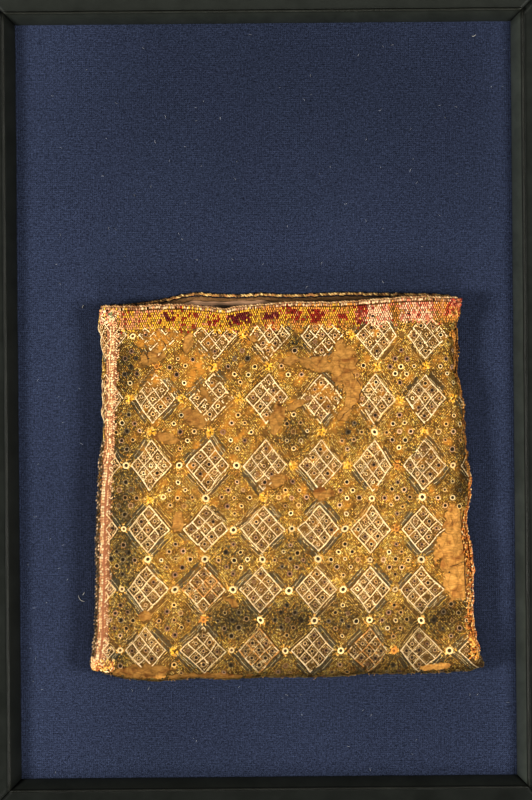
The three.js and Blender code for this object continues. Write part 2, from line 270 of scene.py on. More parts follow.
def face_height(face, x, y, inset=0.0):
    """Height of the purse's front (face 1) or back (face -1), moved inwards by the inset."""
    side_round, foot_round = PURSE["side_round"] - inset, PURSE["foot_round"] - inset
    from_side = np.minimum(x - left_edge(y), right_edge(y) - x) - inset
    share = rounded(from_side, side_round) * rounded(y - foot_edge(x) - inset, foot_round)
    swell = front_swell(x, y) if face > 0 else 0.0
    return MIDDLE + share * (face * (PURSE["thickness"] / 2 - inset) + swell)


def front_point(x, y, lift=0.0):
    """The point of the front at x, y as seen from above."""
    return points_at(x, y, face_height(1, x, y) + lift)


def purse_point(s, t):
    """The point on the purse's outside at s across and t up, both measured along the cloth."""
    side_round, foot_round, half = PURSE["side_round"], PURSE["foot_round"], PURSE["thickness"] / 2
    side_bend, foot_bend = (side_round + half) / 2, (foot_round + half) / 2
    x, y = s, t
    for _ in range(4):
        left, right, foot = left_edge(y), right_edge(y), foot_edge(x)
        past_left = np.clip((left + side_round - s) / side_bend, 0, 2.7)
        past_right = np.clip((s - right + side_round) / side_bend, 0, 2.7)
        past_foot = np.clip((foot + foot_round - t) / foot_bend, 0, 2.0)
        at_left = left + side_round * (1 - np.sin(past_left))
        at_right = right - side_round * (1 - np.sin(past_right))
        x = np.where(past_left > 0, at_left, np.where(past_right > 0, at_right, s))
        y = np.where(past_foot > 0, foot + foot_round * (1 - np.sin(past_foot)), t)
    side = np.cos(past_left) * np.cos(past_right)
    share = np.where(side < 0, side * np.abs(np.cos(past_foot)), side * np.cos(past_foot))
    swell = np.where(share > 0, front_swell(x, y), 0.0)
    return points_at(x, y, MIDDLE + share * (half + swell))


def unit(vectors):
    return vectors / np.maximum(np.linalg.norm(vectors, axis=-1, keepdims=True), 1e-9)


def purse_frame(s, t, point_of=purse_point):
    """Points on the purse's outside, with the directions across, up and outwards there."""
    step = 0.2
    across = unit(point_of(s + step, t) - point_of(s - step, t))
    up = point_of(s, t + step) - point_of(s, t - step)
    out = unit(np.cross(across, up))
    return point_of(s, t), across, np.cross(out, across), out


# Colours and random draws
# The photograph's contrast is higher than the object's: the view adds it and `display` takes it out.
FILM = 0.74


def display(rgb):
    """Linear colours of the object from display values of the photograph."""
    share = np.clip(np.array(rgb, float) / 255, 0, 1)
    linear = np.where(share <= 0.04045, share / 12.92, ((share + 0.055) / 1.055) ** 2.4)
    return linear**FILM


def pick(silks, count):
    """Colours drawn from a list of silks."""
    return display(np.array(silks)[RANDOM.integers(0, len(silks), count)])


def shades(silks, count):
    """The same, each a little lighter or darker."""
    return pick(silks, count) * RANDOM.uniform(0.86, 1.1, count)[:, None]


def over(colours, chosen, new):
    """The colours, with the new ones where chosen."""
    return np.where(chosen[:, None], new, colours)


def drawn(count, *columns):
    """Rows of sizes: a pair of bounds is drawn from evenly, and a number is the same in each row."""

    def filled(given):
        return RANDOM.uniform(*given, count) if isinstance(given, tuple) else np.full(count, given)

    return points_at(*map(filled, columns))


# Meshes: a part is its points in mm, its faces and its linear colours
def join(parts):
    """One part from several."""
    points, faces, colours = zip(*parts)
    starts = np.cumsum([0] + [len(of_part) for of_part in points])
    return (
        np.concatenate(points),
        np.concatenate([of_part + start for of_part, start in zip(faces, starts)]),
        np.concatenate([np.broadcast_to(c, p.shape) for c, p in zip(colours, points)]),
    )


def merged(points, faces, colours):
    """The same part with points in one place joined."""
    keys = np.round(points, 4)
    _, first, numbers = np.unique(keys, axis=0, return_index=True, return_inverse=True)
    return points[first], numbers.reshape(-1)[faces], colours[first]


def add_mesh(name, part, material, replaces=(), values=None):
    """An object from a part; it rides on the one body.

    `values` holds further named numbers, one for each point, that the material reads."""
    points, faces, colours = part
    mesh = bpy.data.meshes.new(name)
    mesh.from_pydata((points * MM).tolist(), [], faces.tolist())
    mesh.polygons.foreach_set("use_smooth", np.full(len(mesh.polygons), True))
    tint = mesh.color_attributes.new("tint", "FLOAT_COLOR", "POINT")
    rgba = np.ones((len(points), 4))
    rgba[:, :3] = colours
    tint.data.foreach_set("color", rgba.ravel())
    for label, numbers in (values or {}).items():
        mesh.attributes.new(label, "FLOAT", "POINT").data.foreach_set("value", numbers)
    mesh.materials.append(material)
    mesh.update()
    piece = bpy.data.objects.new(name, mesh)
    bpy.context.scene.collection.objects.link(piece)
    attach(piece, "root")
    if replaces:
        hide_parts(*replaces)
    return piece


def quads(*corners):
    """Two triangles for each four corners."""
    a, b, c, d = (np.ravel(corner) for corner in corners)
    return np.concatenate([points_at(a, b, c), points_at(a, c, d)])


def grid_faces(rows, columns, flipped=False):
    """Triangles of a grid of points stored row by row."""
    j, i = np.indices((rows - 1, columns - 1))
    corner = j * columns + i
    faces = quads(corner, corner + 1, corner + columns + 1, corner + columns)
    return faces[:, ::-1] if flipped else faces


def grid_part(grid, colours, flipped=False):
    return grid.reshape(-1, 3), grid_faces(*grid.shape[:2], flipped), colours


def closed_sheet(upper, lower, colours, lower_colours, open_ends=False):
    """A thin sheet between two grids of points, closed along its edges."""
    strips = [(upper[:, 0], lower[:, 0]), (lower[:, -1], upper[:, -1])]
    if not open_ends:
        strips = [(upper[-1], lower[-1]), (lower[0], upper[0]), *strips]
    parts = [grid_part(upper, colours), grid_part(lower, lower_colours, True)]
    return merged(*join(parts + [grid_part(np.stack(strip), 0.0) for strip in strips]))


def spindle(sides=4, rings=1, blunt=0.6):
    """A stitch: half a unit each way of length, width and height, pointed at both ends."""
    angle = np.pi * np.arange(1, rings + 1) / (rings + 1)
    turn = 2 * np.pi * (np.arange(sides) + 0.5) / sides
    along, radius = (np.repeat(value, sides) for value in (np.cos(angle), np.sin(angle) ** blunt))
    wide, high = (radius * np.tile(value, rings) for value in (np.cos(turn), np.sin(turn)))
    points = np.concatenate([[[1.0, 0, 0]], points_at(along, wide, high), [[-1.0, 0, 0]]])
    k = np.arange(sides)
    after = (k + 1) % sides
    faces = [points_at(0, 1 + k, 1 + after)]
    for low in range(1, 1 + sides * (rings - 1), sides):
        faces.append(quads(low + k, low + sides + k, low + sides + after, low + after))
    low = 1 + (rings - 1) * sides
    return points, np.concatenate([*faces, points_at(low + k, low + sides, low + after)])


def ring_form(thickness, around=12, section=5, beads=0):
    """A ring of radius 1 in the plane; beads makes its thickness swell that many times."""
    j, i = np.indices((around, section))
    turn, angle = 2 * np.pi * j / around, 2 * np.pi * i / section
    fat = thickness * (1 + (0.22 * np.cos(beads * turn) if beads else 0))
    reach = 1 + fat * np.cos(angle)
    points = points_at(reach * np.cos(turn), reach * np.sin(turn), fat * np.sin(angle)).reshape(-1, 3)
    row, next_row, next_i = j * section, (j + 1) % around * section, (i + 1) % section
    return points, quads(row + i, next_row + i, next_row + next_i, row + next_i)


def scatter(form, centres, along, out, sizes, colours, end_shade=1.0):
    """Copies of a form at the centres. end_shade darkens the form's two ends, as painted shade where a
    stitch meets the cloth.
    """
    form_points, form_faces = form
    sizes = np.broadcast_to(np.asarray(sizes, float), (len(centres), 3))
    placed = centres[:, None, :] + sum(
        (sizes[:, None, k] * form_points[None, :, k])[..., None] * axis[:, None, :]
        for k, axis in enumerate((along, np.cross(out, along), out))
    )
    shade = 1 - (1 - end_shade) * np.abs(form_points[:, 0]) ** 2
    tints = np.broadcast_to(colours, (len(centres), 3))[:, None, :] * shade[None, :, None]
    faces = form_faces[None] + (np.arange(len(centres)) * len(form_points))[:, None, None]
    return placed.reshape(-1, 3), faces.reshape(-1, 3), tints.reshape(-1, 3)


def tube(path, radius, colours, sides=5):
    """A closed round tube along a path of points."""
    heading = unit(np.gradient(path, axis=0))
    side = unit(np.cross(heading, [0.13, 0.07, 1.0]))
    top = np.cross(side, heading)
    turn = 2 * np.pi * np.arange(sides)[None, :, None] / sides
    radius = np.broadcast_to(radius, len(path))[:, None, None]
    rings = path[:, None] + radius * (np.cos(turn) * side[:, None] + np.sin(turn) * top[:, None])
    points = np.concatenate([rings.reshape(-1, 3), path[:1], path[-1:]])
    last, end = (len(path) - 1) * sides, len(path) * sides
    j, i = np.indices((len(path) - 1, sides))
    here, after = j * sides + i, j * sides + (i + 1) % sides
    k = np.arange(sides)
    next_k = (k + 1) % sides
    faces = [quads(here, after, after + sides, here + sides), points_at(end, next_k, k)]
    faces.append(points_at(end + 1, last + k, last + next_k))
    tints = np.broadcast_to(colours, path.shape)
    tints = np.concatenate([np.repeat(tints, sides, axis=0), tints[:1], tints[-1:]])
    return points, np.concatenate(faces)[:, ::-1], tints


# Materials
class Look:
    """A material being made: its shader, and short ways to add nodes to its tree."""

    def __init__(self, name, **constants):
        """The constants are set on the shader's own sockets."""
        self.material = bpy.data.materials.new(name)
        self.material.use_nodes = True
        self.tree = self.material.node_tree
        self.shader = self.tree.nodes["Principled BSDF"]
        self.normal = None
        for socket, value in constants.items():
            self.shader.inputs[socket.replace("_", " ")].default_value = value

    def node(self, kind, inputs, output, **settings):
        """The named output of a new node."""
        made = self.tree.nodes.new("ShaderNode" + kind)
        for name, value in settings.items():
            setattr(made, name, value)
        for socket, value in inputs.items():
            if isinstance(value, bpy.types.NodeSocket):
                self.tree.links.new(value, made.inputs[socket])
            else:
                made.inputs[socket].default_value = value
        return made.outputs[output]

    def place(self):
        return self.node("TexCoord", {}, "Object")

    def value(self, name):
        """A number that the mesh holds at each point."""
        return self.node("Attribute", {}, "Fac", attribute_name=name)

    def tint(self):
        """The mesh's own colours."""
        return self.node("Attribute", {}, "Color", attribute_name="tint")

    def noise(self, scale, detail=3.0, stretch=(1, 1, 1), distortion=0.0):
        """Noise in the object's own space; scale is features per metre, stretch multiplies it by axis."""
        mapped = self.node("Mapping", {"Vector": self.place(), "Scale": stretch}, "Vector")
        inputs = {"Vector": mapped, "Scale": scale, "Detail": detail, "Distortion": distortion}
        return self.node("TexNoise", inputs, "Fac")

    def waves(self, pitch_mm, axis, distortion, detail):
        """Even ridges across one axis."""
        scale = 0.314 / (pitch_mm * MM)
        inputs = {"Vector": self.place(), "Scale": scale, "Distortion": distortion, "Detail": detail}
        return self.node("TexWave", inputs, "Fac", bands_direction=axis)

    def weave(self, pitch_mm, uneven):
        """Over-and-under threads along X and Y, as a height from 0 to 1."""
        threads = {k: self.waves(pitch_mm, axis, uneven, 1.0) for k, axis in enumerate("XY")}
        return self.node("Math", threads, "Value", operation="MAXIMUM")

    def remap(self, value, from_min, from_max, to_min=0.0, to_max=1.0):
        bounds = {"From Min": from_min, "From Max": from_max, "To Min": to_min, "To Max": to_max}
        return self.node("MapRange", {"Value": value, **bounds}, "Result", clamp=True)

    def spread(self, value, low, high):
        """A noise value stretched so that its middle range runs from low to high."""
        return self.remap(value, 0.3, 0.7, low, high)

    def times(self, colour, *factors):
        """A colour times numbers."""
        for factor in factors:
            colour = self.node("VectorMath", {0: colour, "Scale": factor}, "Vector", operation="SCALE")
        return colour

    def blend(self, factor, first, second):
        """A colour between two, each a socket or display values."""
        inputs = {0: factor}
        for number, colour in ((6, first), (7, second)):
            inputs[number] = (*display(colour), 1) if isinstance(colour, tuple) else colour
        return self.node("Mix", inputs, 2, data_type="RGBA")

    def paint(self, colour, *factors):
        """The surface's colour: one colour times numbers."""
        self.tree.links.new(self.times(colour, *factors), self.shader.inputs["Base Color"])

    def bump(self, height, distance_mm):
        """Relief on top of the relief that the material already has."""
        inputs = {"Height": height, "Distance": distance_mm * MM, "Strength": 1.0}
        if self.normal is not None:
            inputs["Normal"] = self.normal
        self.normal = self.node("Bump", inputs, "Normal")
        self.tree.links.new(self.normal, self.shader.inputs["Normal"])


def thread_material(name, roughness, gloss):
    """Silk or linen thread: the mesh's own tint with fine uneven strands."""
    look = Look(name, Roughness=roughness, Specular_IOR_Level=gloss, Specular_Tint=(1.0, 0.82, 0.5, 1.0))
    look.paint(look.tint(), look.spread(look.noise(2600.0, 2.0), 0.82, 1.14))
    look.bump(look.noise(5200.0, 1.0), 0.05)
    return look.material


TAN, TAN_PALE, TAN_DARK = (150, 100, 40), (176, 124, 58), (118, 68, 26)


def linen_material():
    """The purse's cloth: brown beneath the stitches, painted dark as shade in their gaps, and bare tan linen
    with ragged edges where they are lost, painted darker near those edges as shade.
    """
    look = Look("worn_linen", Roughness=0.85, Specular_IOR_Level=0.06)
    mottle = look.noise(520.0, 5.0)
    fibres = look.noise(1100.0, 3.0, (0.45, 1.7, 1))
    stains = look.noise(210.0, 4.0, distortion=1.0)
    ragged = look.spread(look.noise(620.0, 4.0, distortion=0.6), -0.3, 0.3)
    cells = {"Vector": look.place(), "Scale": 300.0}
    cracks = look.node("TexVoronoi", cells, "Distance", feature="DISTANCE_TO_EDGE")
    depth = look.node("Math", {0: look.value("wear"), 1: ragged}, "Value", operation="ADD")
    bare = look.remap(depth, -0.05, 0.03)
    tan = look.blend(look.spread(mottle, 0.15, 0.85), TAN, TAN_PALE)
    tan = look.blend(look.remap(stains, 0.52, 0.68), tan, TAN_DARK)
    # Bare linen darkens towards a lost patch's edge: painted shade by the stitches that still stand.
    tan = look.times(tan, look.remap(depth, 0.0, 0.16, 0.5, 1.0), look.value("tone"))
    uneven = (look.spread(mottle, 0.86, 1.1), look.spread(fibres, 0.8, 1.16))
    look.paint(look.blend(bare, look.tint(), tan), *uneven, look.remap(cracks, 0.0, 0.07, 0.72, 1.0))
    look.bump(look.weave(0.42, 0.8), 0.09)
    look.bump(mottle, 0.25)
    look.bump(bare, -0.25)
    return look.material


def blue_material():
    """The mount's cloth: a plain blue weave with slubs, flecks, faint unevenness and painted light and
    shade.
    """
    look = Look("blue_weave", Roughness=0.95, Specular_IOR_Level=0.03)
    threads, flecks = look.weave(0.8, 1.6), look.noise(1500.0, 2.0)
    across, up = (look.noise(1700.0, 2.0, stretch) for stretch in ((0.26, 1, 1), (1, 0.26, 1)))
    deep, pale = (17, 21, 33), (32, 38, 55)
    colour = look.blend(look.spread(across, 0.0, 1.0), deep, pale)
    colour = look.blend(look.spread(up, 0.1, 0.75), colour, pale)
    clouds = look.spread(look.noise(14.0), 0.93, 1.07)
    grain = (look.spread(threads, 0.88, 1.08), look.spread(flecks, 0.56, 1.48))
    # The value read from the points is painted light and shade on the cloth.
    look.paint(colour, *grain, clouds, look.value("blue_painted_light"))
    look.bump(threads, 0.12)
    look.bump(flecks, 0.1)
    return look.material


def painted_wood():
    """Dark paint over close grain; the mesh's own tint says where it is rubbed or was not painted, and
    carries painted light and shade.
    """
    look = Look("dark_painted_wood", Specular_IOR_Level=0.2)
    grain, brushed = look.noise(240.0, 4.0, distortion=0.6), look.noise(90.0)
    look.paint(look.tint(), look.spread(grain, 0.88, 1.1), look.spread(brushed, 0.9, 1.1))
    look.tree.links.new(look.spread(brushed, 0.36, 0.46), look.shader.inputs["Roughness"])
    look.bump(grain, 0.03)
    look.bump(brushed, 0.12)
    return look.material


def board_material():
    """Pressed board: brown fibres in a flat sheet."""
    look = Look("pressed_board", Roughness=0.8)
    fibres = look.noise(700.0, 5.0, (1, 0.4, 1), 0.8)
    colour = look.blend(look.spread(fibres, 0.0, 1.0), (118, 86, 55), (164, 128, 88))
    look.paint(colour, look.spread(look.noise(30.0), 0.88, 1.08))
    look.bump(fibres, 0.06)
    return look.material


def silk_material():
    """A thin ribbed silk: the mesh's own tint with fine ribs across."""
    look = Look("lining_silk", Roughness=0.5, Specular_IOR_Level=0.15)
    look.paint(look.tint(), look.spread(look.noise(260.0, 4.0, (0.4, 1.5, 1)), 0.8, 1.15))
    look.bump(look.waves(0.6, "Y", 1.2, 2.0), 0.05)
    return look.material


def floor_material():
    look = Look("pale_floor", Roughness=0.7)
    tone = look.spread(look.noise(6.0, 4.0), 0.0, 1.0)
    shades_of_grey = {0: tone, 6: (0.415, 0.41, 0.395, 1), 7: (0.43, 0.425, 0.41, 1)}
    look.paint(look.node("Mix", shades_of_grey, 2, data_type="RGBA"))
    return look.material


GROUND = linen_material()
STITCH = thread_material("gold_silk", 0.42, 0.32)
CREAM = thread_material("cream_thread", 0.55, 0.15)
SILK = silk_material()
BLUE = blue_material()
WOOD = painted_wood()


# Frame
HALF_WIDTH, HALF_HEIGHT = OPENING["width"] / 2, OPENING["height"] / 2
# Half profile of the moulding from the opening outwards, and how much each corner is softened
MOULDING = table(
    "out height soften painted",
    (0, 16.3, 0.1, 1),
    (5.6, 16.3, 0.1, 0),
    (5.6, 0, 0.2, 0),
    (19, 0, 0.1, 0),
    (20, 0.6, 0.5, 1),
    (20, 21.4, 1.3, 1),
    (5.3, 21.4, 0.15, 1),
    (4.95, 22.4, 0.4, 1),
    (4.25, 22.4, 0.4, 1),
    (3.9, 21.6, 0.2, 1),
    (0, 17.4, 0.35, 1),
)
# Name, quarter turns, half length, distance of the inner edge, and how much painted light or shade the flat
# and the slope get
RAILS = (
    ("top", 0, HALF_WIDTH, HALF_HEIGHT, 1.15, 1.3),
    ("left", 1, HALF_HEIGHT, HALF_WIDTH, 0.92, 0.7),
    ("bottom", 2, HALF_WIDTH, HALF_HEIGHT, 0.7, 1.1),
    ("right", 3, HALF_HEIGHT, HALF_WIDTH, 0.92, 2.6),
)
RAIL_STEPS = 90
# Paint colours; the darker inner colour, at the opening's edge and at the outer foot, is painted shade.
PAINT = {"flat": (15, 17, 14), "ridge": (15, 16, 12), "inner": (10, 12, 11), "raw": (104, 78, 50)}


def softened_profile():
    """The moulding's profile with each corner turned into a short curve, and its paint colours."""
    corners = points_at(MOULDING["out"], MOULDING["height"])
    t = np.linspace(0, 1, 5)[:, None]
    points, colours = [], []
    for k, corner in enumerate(corners):
        ends = []
        for other in (corners[k - 1], corners[(k + 1) % len(corners)]):
            reach = min(MOULDING["soften"][k], 0.45 * np.linalg.norm(other - corner))
            ends.append(corner + unit(other - corner) * reach)
        points.append((1 - t) ** 2 * ends[0] + 2 * t * (1 - t) * corner + t**2 * ends[1])
        # Corners at the opening's edge and low down take the darker inner colour, as painted shade.
        name = "inner" if corner[0] < 1 or corner[1] < 17 else "flat"
        name = "ridge" if corner[1] > 22 else name
        name = name if MOULDING["painted"][k] else "raw"
        colours += [display(PAINT[name])] * len(t)
    return np.concatenate(points), np.array(colours)


def moulding(profile, paint, quarter_turns, half_length, inner, flat_painted_light, slope_painted_light):
    """Points and tints of one length of the frame, mitred at both ends and turned into its place."""
    # Each rail's flat and slope are made lighter or darker by side: painted light and shade.
    paint = paint * np.where(profile[:, :1] < 3.8, slope_painted_light, flat_painted_light)
    out, height = profile.T[:, None]
    x = np.linspace(-1, 1, RAIL_STEPS + 1)[:, None] * (half_length + out - GAP / 2)
    wave = 0.05 * ripple(x, out + 40 * quarter_turns, 26.0, 31)
    y = inner + out + np.where(height > 1, wave, 0)
    z = height + np.where(height > 17, 0.6 * wave, 0)
    angle = quarter_turns * math.pi / 2
    cos, sin = math.cos(angle), math.sin(angle)
    rub = 1 + 0.25 * np.clip(ripple(x, height, 18.0, 33 + quarter_turns), 0, 1) * (height > 22)
    points = points_at(x * cos - y * sin, x * sin + y * cos, z)
    return points.reshape(-1, 3), (paint[None] * rub[..., None]).reshape(-1, 3)


def turn_of(a, b, c):
    return (b[0] - a[0]) * (c[1] - a[1]) - (b[1] - a[1]) * (c[0] - a[0])


def is_ear(profile, order, corners):
    """Whether the middle one of three corners can be cut off a profile that runs anticlockwise."""
    a, b, c = (profile[k] for k in corners)
    inside = (
        turn_of(a, b, p) >= 0 and turn_of(b, c, p) >= 0 and turn_of(c, a, p) >= 0
        for p in (profile[k] for k in order if k not in corners)
    )
    return turn_of(a, b, c) > 1e-9 and not any(inside)


def mitre_faces(profile):
    """Triangles that close a mitre: the profile's own polygon, cut into ears."""
    order, faces = list(range(len(profile))), []
    while len(order) > 3:
        corners = [(order[k - 1], order[k], order[(k + 1) % len(order)]) for k in range(len(order))]
        ear = next((k for k, three in enumerate(corners) if is_ear(profile, order, three)), 0)
        faces.append(corners[ear])
        order.pop(ear)
    return np.array([*faces, order])


def add_frame():
    profile, paint = softened_profile()
    count, caps = len(profile), mitre_faces(profile)
    j, i = np.indices((RAIL_STEPS, count))
    here, after = j * count + i, j * count + (i + 1) % count
    sides = quads(here, here + count, after + count, after)
    faces = np.concatenate([sides, caps, caps[:, ::-1] + RAIL_STEPS * count])
    for name, *sizes in RAILS:
        points, tints = moulding(profile, paint, *sizes)
        add_mesh("moulding_" + name, (points, faces, tints), WOOD, ["frame_rail_" + name])


# Mount
# Painted light and shade on the blue cloth: how light it is at each height up its middle
BLUE_PAINTED_LIGHT = table(
    "y light",
    (-151, 0.88),
    (-120, 0.87),
    (0, 0.92),
    (56, 0.92),
    (88, 0.84),
    (120, 0.77),
    (151, 0.78),
)
BLUE_SILK = (52, 61, 84)
MOUNT_STEPS = (60, 90)


def blue_painted_light_of(x, y):
    """How light the blue cloth is, as painted light and shade: paler towards its left side and near its
    right edge, over the rails' shadows.
    """
    light = smooth(BLUE_PAINTED_LIGHT, "y", "light", y)
    left = np.exp(-(((x + 100) / 40) ** 2))
    right = np.exp(-(((x - 104) / 14) ** 2))
    return light + left * (1.06 - light) + right * (1.02 - light)


def flat_grid(half_sizes, inset, height):
    """A flat rectangle as a grid of points, drawn in from the half width and half height."""
    x, y = (np.linspace(inset - half, half - inset, n + 1) for half, n in zip(half_sizes, MOUNT_STEPS))
    return points_at(*np.meshgrid(x, y), height).reshape(-1, 3)


def add_mount():
    """The blue cloth over the face of the board, down its edges and 22 mm onto its back."""
    columns, rows = (steps + 1 for steps in MOUNT_STEPS)
    half_sizes = [half + BOARD_LAP + GAP + CLOTH["thickness"] for half in (HALF_WIDTH, HALF_HEIGHT)]
    top, bottom = CLOTH["top"], CLOTH["top"] - CLOTH["depth"]
    thick, cut = CLOTH["thickness"], CLOTH["turn_over"]
    quarter = np.linspace(0, math.pi / 2, 5)
    falling, rising = CLOTH["round"] * (1 - np.sin(quarter)), CLOTH["round"] * (1 - np.cos(quarter))
    section = [*zip(falling, top - rising), *zip(rising, bottom + falling)]
    section += [(cut * 0.4, bottom), (cut * 0.75, bottom), (cut, bottom + 0.1)]
    section += [(cut, bottom + thick - 0.1), (cut * 0.5, bottom + thick), (thick, bottom + thick)]
    at = np.arange(rows * columns).reshape(rows, columns)
    border = np.concatenate([at[0, :-1], at[:-1, -1], at[-1, :0:-1], at[:0:-1, 0]])
    face = flat_grid(half_sizes, CLOTH["round"] + 0.4, top)
    hidden = flat_grid(half_sizes, thick, top - thick)
    loops = [flat_grid(half_sizes, *place_in_section)[border] for place_in_section in section]
    for (inset, _), loop in zip(section, loops):
        if inset == cut:
            fray = 0.5 * ripple(loop[:, 0], loop[:, 1], 5.0, 41)
            loop[:, :2] += np.sign(loop[:, :2]) * fray[:, None] * (np.abs(loop[:, :2]) > 10)
    faces = [grid_faces(rows, columns), grid_faces(rows, columns, True) + len(face)]
    starts = 2 * len(face) + len(border) * np.arange(len(loops))
    rings = [border, *(starts[:, None] + np.arange(len(border))), len(face) + border]
    for first, second in zip(rings, rings[1:]):
        faces.append(quads(first, second, np.roll(second, -1), np.roll(first, -1)))
    points = np.concatenate([face, hidden, *loops])
    part = (points, np.concatenate(faces), display(BLUE_SILK))
    # Painted light and shade for the blue cloth, one value at each point.
    values = {"blue_painted_light": blue_painted_light_of(points[:, 0], points[:, 1])}
    piece = add_mesh("blue_mount_cloth", part, BLUE, ["mount_cloth"], values=values)
    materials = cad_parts["mount_board"].data.materials
    materials.clear()
    materials.append(board_material())


# Wear of the purse
# Places where the embroidery is lost and the tan ground shows
WORN = table(
    "x y turn length width tone",
    (74.8, -50, 92, 8, 5, 1.06),
    (73.6, -61, 90, 10, 7, 1.06),
    (75.6, -72.5, 88, 9, 5.6, 1.06),
    (31, 13.5, 100, 10.5, 6.4, 0.86),
    (35, 2.5, 80, 7, 3.6, 0.9),
    (31.4, -5.4, 55, 4.6, 2.2, 0.86),
    (21, 14.2, -8, 8, 3.4, 0.8),
    (10, 15.6, 4, 5, 2, 0.78),
    (-45, 17.4, 15, 5.5, 3, 0.8),
    (-31, 23, 75, 4, 2.8, 0.86),
    (-28.3, -7, -35, 5.5, 3.6, 0.8),
    (4.4, -7.6, 72, 7.4, 3, 0.8),
    (12, -2, 30, 4, 1.8, 0.78),
    (4, -32.5, 15, 4.6, 2.6, 0.8),
    (-35.8, -48.5, 85, 4.4, 2.6, 0.9),
    (22.3, -37.5, 0, 4.6, 2.6, 0.82),
    (-49.3, -86, 40, 3.2, 2.4, 0.84),
    (-39.5, -15, -10, 5.6, 2.6, 0.8),
    (-51, -108.4, 3, 13.5, 3.4, 0.58),
    (-24, -110.8, 0, 18, 2.2, 0.55),
    (66.9, -107.2, 4, 7, 1.6, 0.95),
    (-43.4, -110.4, 3, 3.2, 0.9, 1.1),
    (-7, 25.5, -30, 5, 1.4, 0.76),
    (-14.5, -80.5, -35, 4, 1.6, 0.72),
    (-24, 2, -60, 5, 1.4, 0.76),
)
# Soil and dark silks: how much each place is darkened and greyed
CLOUDS = table(
    "x y turn length width dark grey",
    (-57.5, -50, 91, 50, 6.5, 0.30, 0.7),
    (-56.5, 14, 92, 15, 6, 0.38, 0.4),
    (-13, -88, -2, 15, 8, 0.42, 0.72),
    (12, -88, 0, 12, 8, 0.40, 0.66),
    (32, -87, 0, 12, 7, 0.28, 0.45),
    (62, -89, 4, 16, 7, 0.34, 0.42),
    (-2, -103, 0, 52, 7, 0.30, 0.4),
    (50, -103, 0, 28, 7, 0.30, 0.4),
    (-35, -88, 0, 9, 7, 0.08, 0.2),
    (66, 14, 90, 26, 8, 0.15, 0.1),
    (-13, -62, 0, 8, 8, 0.06, 0.35),
    (10, -62, 0, 9, 8, 0.16, 0.35),
    (79, -30, 92, 18, 4, 0.50, 0.2),
    (76, -36, 92, 6, 5, 0.40, 0.2),
    (78, 10, 92, 26, 3, 0.50, 0.1),
    (75, 24, 92, 10, 2.4, 0.45, 0.1),
    (74, -86, 20, 8, 5, 0.45, 0.3),
    (11, -13.5, 0, 6, 6, 0.35, 0.4),
    (11.5, 22.5, 0, 6, 4, 0.40, 0.4),
    (35, -13, 0, 6, 5, 0.2, 0.3),
    (58, -30, 90, 20, 5, 0.12, 0.2),
    (-14, 14, 10, 8, 7, 0.12, 0.1),
    (-60, -103, 0, 8, 5, 0.3, 0.5),
)
# Places where the lines and rings are mostly rubbed away but their ground still holds
THINNED = table(
    "x y turn length width share",
    (-42.5, 25.2, 0, 7, 4, 0.8),
    (22.4, 2, 10, 5.5, 5, 0.45),
    (-27.5, 13, 70, 7, 4, 0.9),
    (8, 17, 0, 8, 4, 0.6),
    (-14, -6, 80, 7, 3, 0.7),
    (30, -8, 50, 6, 3, 0.7),
    (-44, 8, 10, 6, 3, 0.5),
)


def thinned(x, y):
    return np.clip(ovals(THINNED, x, y, "share"), 0, 0.9)


def wear_of(x, y):
    """Above 0 where the embroidery is lost, and how light the bare linen is there."""
    deepest, tone = -9.0, 1.0
    for k, own_tone in enumerate(WORN["tone"]):
        depth = 1 - oval_distance(WORN, k, x, y)
        tone = np.where(depth > deepest, own_tone, tone)
        deepest = np.maximum(deepest, depth)
    return deepest + 0.38 * ripple(x, y, 4.5, 51) + 0.32 * ripple(x, y, 1.7, 52), tone


def worn(x, y):
    return wear_of(x, y)[0]


def brightness(x, y):
    """Share of the light that soil leaves, darker still towards the foot, and how grey the silks are there.
    """
    light, grey = 1.0, 0.0
    for k, (dark, own_grey) in enumerate(zip(CLOUDS["dark"], CLOUDS["grey"])):
        weight = np.exp(-oval_distance(CLOUDS, k, x, y))
        light = light * (1 - dark * weight)
        grey = np.maximum(grey, own_grey * weight)
    # Darker within a few millimetres of the foot.
    at_foot = np.clip(1 - (y - foot_edge(x)) / 5.5, 0, 1)
    return light * (1 + 0.10 * ripple(x, y, 7.0, 53)) * (1 - 0.8 * at_foot), grey


def rubbed(x, y):
    """Above 0 where the stitches are worn thin."""
    patches = np.clip(ripple(x, y, 7.0, 57) - 0.35, 0, 1) * np.clip((y + 90) / 60, 0.3, 1)
    return np.clip(patches + 0.7 * thinned(x, y), 0, 1)


def ground_colour(x, y):
    """Colour of the purse's cloth beneath the stitches, darker than the bare linen: painted shade in the
    gaps between stitches and round the rings.
    """
    light, grey = (value[..., None] for value in brightness(x, y))
    warm = 0.5 + 0.5 * np.clip(ripple(x, y, 9.0, 58), -1, 1)[..., None]
    # The brown beneath the stitches is kept dark as painted shade in their gaps.
    ground_with_gap_shade = display((86, 58, 22)) * (1 - warm) + display((114, 76, 30)) * warm
    bare = np.clip(1.8 * rubbed(x, y), 0, 1)[..., None]
    ground_with_gap_shade = ground_with_gap_shade + (display((176, 114, 38)) - ground_with_gap_shade) * bare
    return (ground_with_gap_shade * (1 - grey) + display((56, 50, 30)) * grey) * light


# Purse cloth
PURSE_GRID = {"round_steps": 8, "across": 112, "up": 100}
LINEN = {
    "back": (140, 92, 42),
    "inside": (134, 96, 58),
    "front_rim": (150, 108, 62),
    "back_rim": (120, 88, 52),
}


